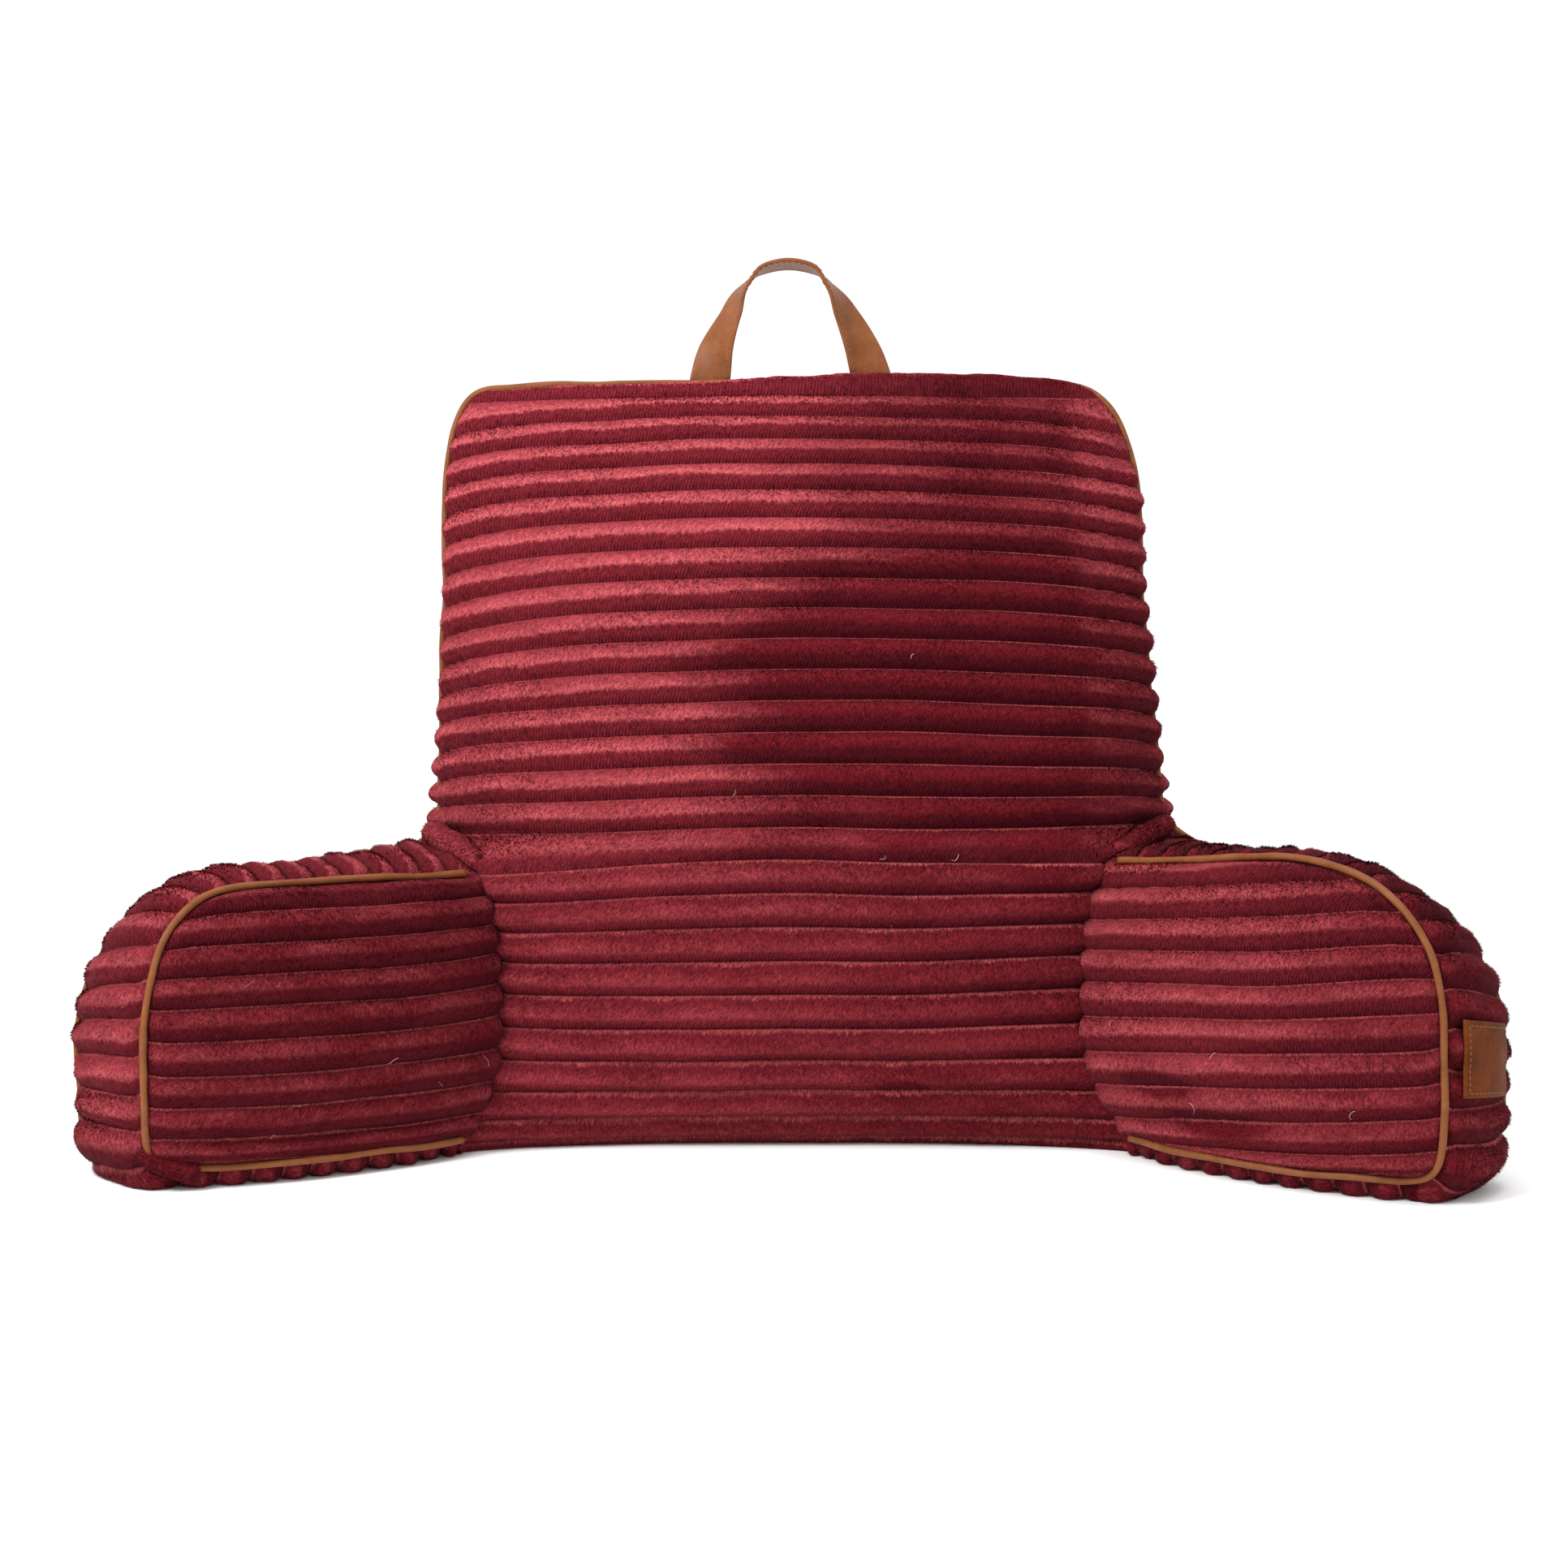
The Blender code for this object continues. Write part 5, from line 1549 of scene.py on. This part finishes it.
class Value:
    """A socket of a material's node that +, - and * work on by adding a node."""

    def __init__(self, nodes, socket):
        self.nodes = nodes
        self.socket = socket

    def __add__(self, other):
        return self.nodes.math("ADD", self, other)

    def __sub__(self, other):
        return self.nodes.math("SUBTRACT", self, other)

    def __rsub__(self, other):
        return self.nodes.math("SUBTRACT", other, self)

    def __mul__(self, other):
        return self.nodes.math("MULTIPLY", self, other)

    def clamped(self):
        """This value, kept from 0 to 1."""
        self.socket.node.use_clamp = True
        return self


class Nodes:
    """A material's nodes, added one by one."""

    def __init__(self, name):
        self.material = bpy.data.materials.new(name)
        self.material.use_nodes = True
        self.tree = self.material.node_tree
        self.shader = self.tree.nodes["Principled BSDF"]

    def link(self, value, socket):
        """A value or a number goes into a socket."""
        if isinstance(value, Value):
            self.tree.links.new(value.socket, socket)
        elif value is not None:
            socket.default_value = value

    def outputs(self, kind, inputs=None, **settings):
        """The output values of a new node."""
        node = self.tree.nodes.new(kind)
        for key, value in settings.items():
            setattr(node, key, value)
        for key, value in (inputs or {}).items():
            self.link(value, node.inputs[key])
        return [Value(self, socket) for socket in node.outputs]

    def place(self):
        """Places on the object itself."""
        return Value(self, self.tree.nodes.new("ShaderNodeTexCoord").outputs["Object"])

    def math(self, operation, a, b=None):
        """One step of a sum."""
        return self.outputs("ShaderNodeMath", {0: a, 1: b}, operation=operation)[0]

    def noise(self, vector, scale=1.0, detail=2.0, roughness=0.5, stretch=(1, 1, 1)):
        """Cloudy noise from 0 to 1."""
        placed = self.outputs("ShaderNodeMapping", {"Vector": vector, "Scale": stretch})[0]
        inputs = {"Vector": placed, "Scale": scale, "Detail": detail, "Roughness": roughness}
        return self.outputs("ShaderNodeTexNoise", inputs)[0]

    def ramp(self, factor, stops):
        """A colour from a table of places and colours."""
        colour = self.outputs("ShaderNodeValToRGB", {"Fac": factor})[0]
        elements = colour.socket.node.color_ramp.elements
        while len(elements) < len(stops):
            elements.new(1.0)
        for element, (place, shade) in zip(elements, stops):
            element.position = place
            element.color = (*shade, 1)
        return colour

    def mix(self, factor, a, b):
        """A colour between two others."""
        a, b = [(*value, 1) if isinstance(value, tuple) else value for value in (a, b)]
        return self.outputs("ShaderNodeMix", {0: factor, 6: a, 7: b}, data_type="RGBA")[2]

    def bump(self, height, distance, strength, normal=None):
        """A normal that leans as a height over the surface would."""
        inputs = {"Height": height, "Distance": distance, "Strength": strength, "Normal": normal}
        return self.outputs("ShaderNodeBump", inputs)[0]

    def surface(self, inputs):
        """The finished material, with these inputs of its shader."""
        for key, value in inputs.items():
            self.link(value, self.shader.inputs[key])
        return self.material


def plush_material(name):
    """Cut pile in wide ribs: crests painted bright as lit from above, hatched lower flanks painted dark as
    shade and a knitted line in each groove.

    The look attribute holds how brushed the pile is, with painted light and shade in it, where the crest
    ends, a place along a blade of pile and a random shade.
    """
    n = Nodes(name)
    uv = n.outputs("ShaderNodeUVMap", uv_map="cloth")[0]
    u, v, _ = n.outputs("ShaderNodeSeparateXYZ", {"Vector": uv})
    look, _, _, shade = n.outputs("ShaderNodeAttribute", attribute_name="look")
    nap_and_painted_light, edge, tip = n.outputs("ShaderNodeSeparateColor", {"Color": look})
    skew = n.outputs("ShaderNodeCombineXYZ", {"X": u + v * 0.5, "Y": v})[0]
    ragged = n.noise(uv, detail=3.0, roughness=0.65, stretch=(13.0, 4.0, 1.0))
    fibre = n.noise(uv, detail=2.0, roughness=0.6, stretch=(10.0, 17.0, 1.0))
    stroke = n.noise(skew, detail=2.0, roughness=0.6, stretch=(19.0, 5.5, 1.0))
    brushed = n.noise(uv, detail=3.0, roughness=0.6, stretch=(0.45, 0.9, 1.0))

    # Where on its rib a point lies, shifted so that the bright side, painted as lit, ends raggedly
    phase = n.math("FRACT", v)
    middle = phase * (1.0 - phase) * 4.0
    drift = (ragged - 0.5) * JAG + (brushed - 0.5) * SWAY + (MIDDLE_EDGE - edge)
    moved = phase + drift * middle

    # The pile's colour, brushed bright or dark with painted light and shade in it: each rib painted darker on
    # its lower flank and groove; calm where the edge is late
    low = ((edge - CALM_EDGE).clamped() * CALM_SHARPNESS).clamped()
    bright = n.mix(low, n.ramp(moved, BRIGHT_RIB_PAINTED_SHADE), n.ramp(moved, CALM_RIB_PAINTED_SHADE))
    level = (nap_and_painted_light + ((brushed - 0.5) * PATCHES + (ragged - 0.5) * TUFTS)).clamped()
    tone = n.mix(level, n.ramp(moved, DARK_RIB_PAINTED_SHADE), bright)

    # Slanting rows of stitches that show on a rib's lower flank and its upper shoulder
    row = n.math("ABSOLUTE", n.math("SINE", (u * ROW_SLANT[0] + v * ROW_SLANT[1]) * pi))
    flank = ((moved - FLANK[0]).clamped() * FLANK[1]).clamped()
    shoulder = ((SHOULDER[0] - phase).clamped() * SHOULDER[1]).clamped()
    knit = n.math("POWER", row, ROW_POWER) * (flank + shoulder).clamped()
    tone = n.mix(knit * ROW_STRENGTH, tone, n.mix(level, ROW_DARK, ROW_LIT))

    # Single fibres, lighter toward a blade's tip
    grain = fibre * FIBRE + (stroke * STROKE - GRAIN_BASE)
    fur = (tip * TIP + TIP_BASE) * (shade * SHADE + SHADE_BASE)
    colour = n.outputs("ShaderNodeVectorMath", {0: tone, "Scale": grain * fur}, operation="SCALE")[0]
    height = fibre * HEIGHTS[0] + stroke * HEIGHTS[1] + knit * HEIGHTS[2]
    return n.surface({
        "Base Color": colour,
        "Normal": n.bump(height, *PLUSH_BUMP),
        "Roughness": 0.85,
        "Specular IOR Level": 0.03,
        "Sheen Weight": 0.05,
        "Sheen Roughness": 0.4,
        "Sheen Tint": SHEEN_PINK,
    })


def leather_material(name, dark, light, gloss, specular):
    """Tan imitation leather: a fine grain, cloudy colour and a satin gloss."""
    n = Nodes(name)
    place = n.place()
    cloud = n.noise(place, CLOUD, 3.0, 0.6)
    wear = n.noise(place, WEAR, 3.0, 0.6)
    grain = n.noise(place, GRAIN)
    return n.surface({
        "Base Color": n.ramp(cloud * 0.7 + wear * 0.3, tuple(zip(TAN_RANGE, (dark, light)))),
        "Roughness": wear * 0.25 + gloss,
        "Normal": n.bump(grain, GRAIN_DEPTH, 0.5, n.bump(wear, WEAR_DEPTH, 0.5)),
        "Specular IOR Level": specular,
    })


def thread_material(name, colour):
    """Sewing thread, with a fine twist."""
    n = Nodes(name)
    twist = n.noise(n.place(), 2400.0, 1.0)
    darker = tuple(0.75 * part for part in colour)
    return n.surface({"Base Color": n.ramp(twist, ((0.3, darker), (0.7, colour))), "Roughness": 0.6})


def floor_material():
    """A plain pale floor."""
    n = Nodes("floor")
    cloud = n.noise(n.place(), 3.0)
    return n.surface({"Base Color": n.ramp(cloud, FLOOR_PALE), "Roughness": 0.9, "Specular IOR Level": 0.1})


# Stage

def make_floor():
    """The floor, which is no part of the pillow."""
    mesh = bmesh.new()
    bmesh.ops.create_grid(mesh, x_segments=FLOOR_CELLS, y_segments=FLOOR_CELLS, size=FLOOR_HALF)
    floor = mesh_piece("floor", mesh, floor_material(), rounded=False)


def make_light(name, place, size, energy):
    """A round soft light that faces the pillow."""
    data = bpy.data.lights.new(name, "AREA")
    data.shape = "DISK"
    data.size = size
    data.energy = energy
    light = new_piece(name, data)
    light.location = place
    light.rotation_euler = (Vector(LIGHT_TARGET) - Vector(place)).to_track_quat("-Z", "Y").to_euler()


def make_stage():
    """Camera, lights, world and floor."""
    scene = bpy.context.scene
    data = bpy.data.cameras.new("camera")
    data.lens = CAMERA_LENS
    data.sensor_width = CAMERA_SENSOR
    camera = new_piece("camera", data)
    camera.location = CAMERA_PLACE
    camera.rotation_euler = (radians(90 - CAMERA_PITCH), 0, 0)
    scene.camera = camera
    scene.view_settings.view_transform = "Standard"
    world = bpy.data.worlds.new("world")
    world.use_nodes = True
    background = world.node_tree.nodes["Background"]
    background.inputs["Color"].default_value = (1, 1, 1, 1)
    background.inputs["Strength"].default_value = WORLD_STRENGTH
    scene.world = world
    make_floor()
    for light in LIGHTS:
        make_light(*light)


def wobbly(line, seed):
    """A line of piping that wavers a little, as sewn by hand."""
    lengths = arc_lengths(line)
    steps = np.linspace(0, lengths[-1], int(lengths[-1] / PIPING_PIECE))
    line = eased(along_line(line, steps, lengths))
    for axis in range(3):
        line[:, axis] += PIPING_WOBBLE * soft_noise(steps, steps * 0, (PIPING_WOBBLE_CELL, 1), seed + axis)
    line[:, 2] = np.maximum(line[:, 2], PIPING_RADIUS + FLOOR_GAP)
    return line


def dress(piece, slot, *nodes):
    """A finished piece rides on the pillow and stands for these nodes."""
    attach(piece, "root")
    if nodes:
        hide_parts(*nodes)


def make_backrest(material):
    """The backrest's cushion with its pile, and its front panel for the lint."""
    fillings = backrest_filling()
    front, back = [backrest_cloth(facing, filling) for facing, filling in zip((True, False), fillings)]
    cushion = backrest_shell(front, back)[0].close("backrest_cushion", material)
    dress(cushion, "plush", "backrest")
    dress(pile("backrest_pile", [front, back], BACKREST_BLADES, SEEDS["backrest"], material), "plush")
    return front


def make_arm(side, plush, leather):
    """One arm's cushion with its pile and the piping of its inner panel, and that panel for the lint."""
    inner_filling, outer_filling, strip_filling = arm_filling(side)
    inner = arm_cloth(side, False, inner_filling)
    outer = arm_cloth(side, True, outer_filling)
    strip = strip_cloth(side, strip_filling)
    cushion = arm_shell(side, inner, outer, strip)[0].close("arm_cushion_" + side, plush)
    dress(cushion, "plush", "arm_" + side)
    seed = SEEDS[side]
    dress(pile("arm_pile_" + side, [inner, outer, strip], ARM_BLADES, seed, plush), "plush")
    line = wobbly(arm_piping_line(side, False), seed)
    dress(tube("inner_piping_" + side, line, seed, leather), "leather", "piping_arm_" + side)
    return inner


def make_outer_piping(material):
    """The piping round the outer seams of both arms and the back."""
    left = arm_piping_line("left", True)[::-1]
    right = arm_piping_line("right", True)
    seed = SEEDS["outer_piping"]
    line = wobbly(np.concatenate([left, backrest_piping_line(), right]), seed)
    dress(tube("outer_piping", line, seed, material), "leather", "piping_outer")


make_stage()
plush = plush_material("plush")
leather = leather_material("leather_tan", **STRAP_LEATHER)
patch_leather = leather_material("leather_patch", **PATCH_LEATHER)
thread = thread_material("thread_tan", THREAD_TAN)
lint = thread_material("lint", LINT_PALE)

panels = [make_backrest(plush)] + [make_arm(side, plush, leather) for side in SIDES]
make_folds(plush)
dress(make_lint(panels, lint), "plush")
make_outer_piping(leather)
dress(make_strap(leather), "leather", "handle")
dress(stitches("strap_stitches", strap_stitch_rows(), STRAP_STITCH, thread), "leather")
dress(make_label(patch_leather), "leather", "label")
dress(stitches("patch_stitches", label_stitch_rows(), LABEL_STITCH, thread), "leather")
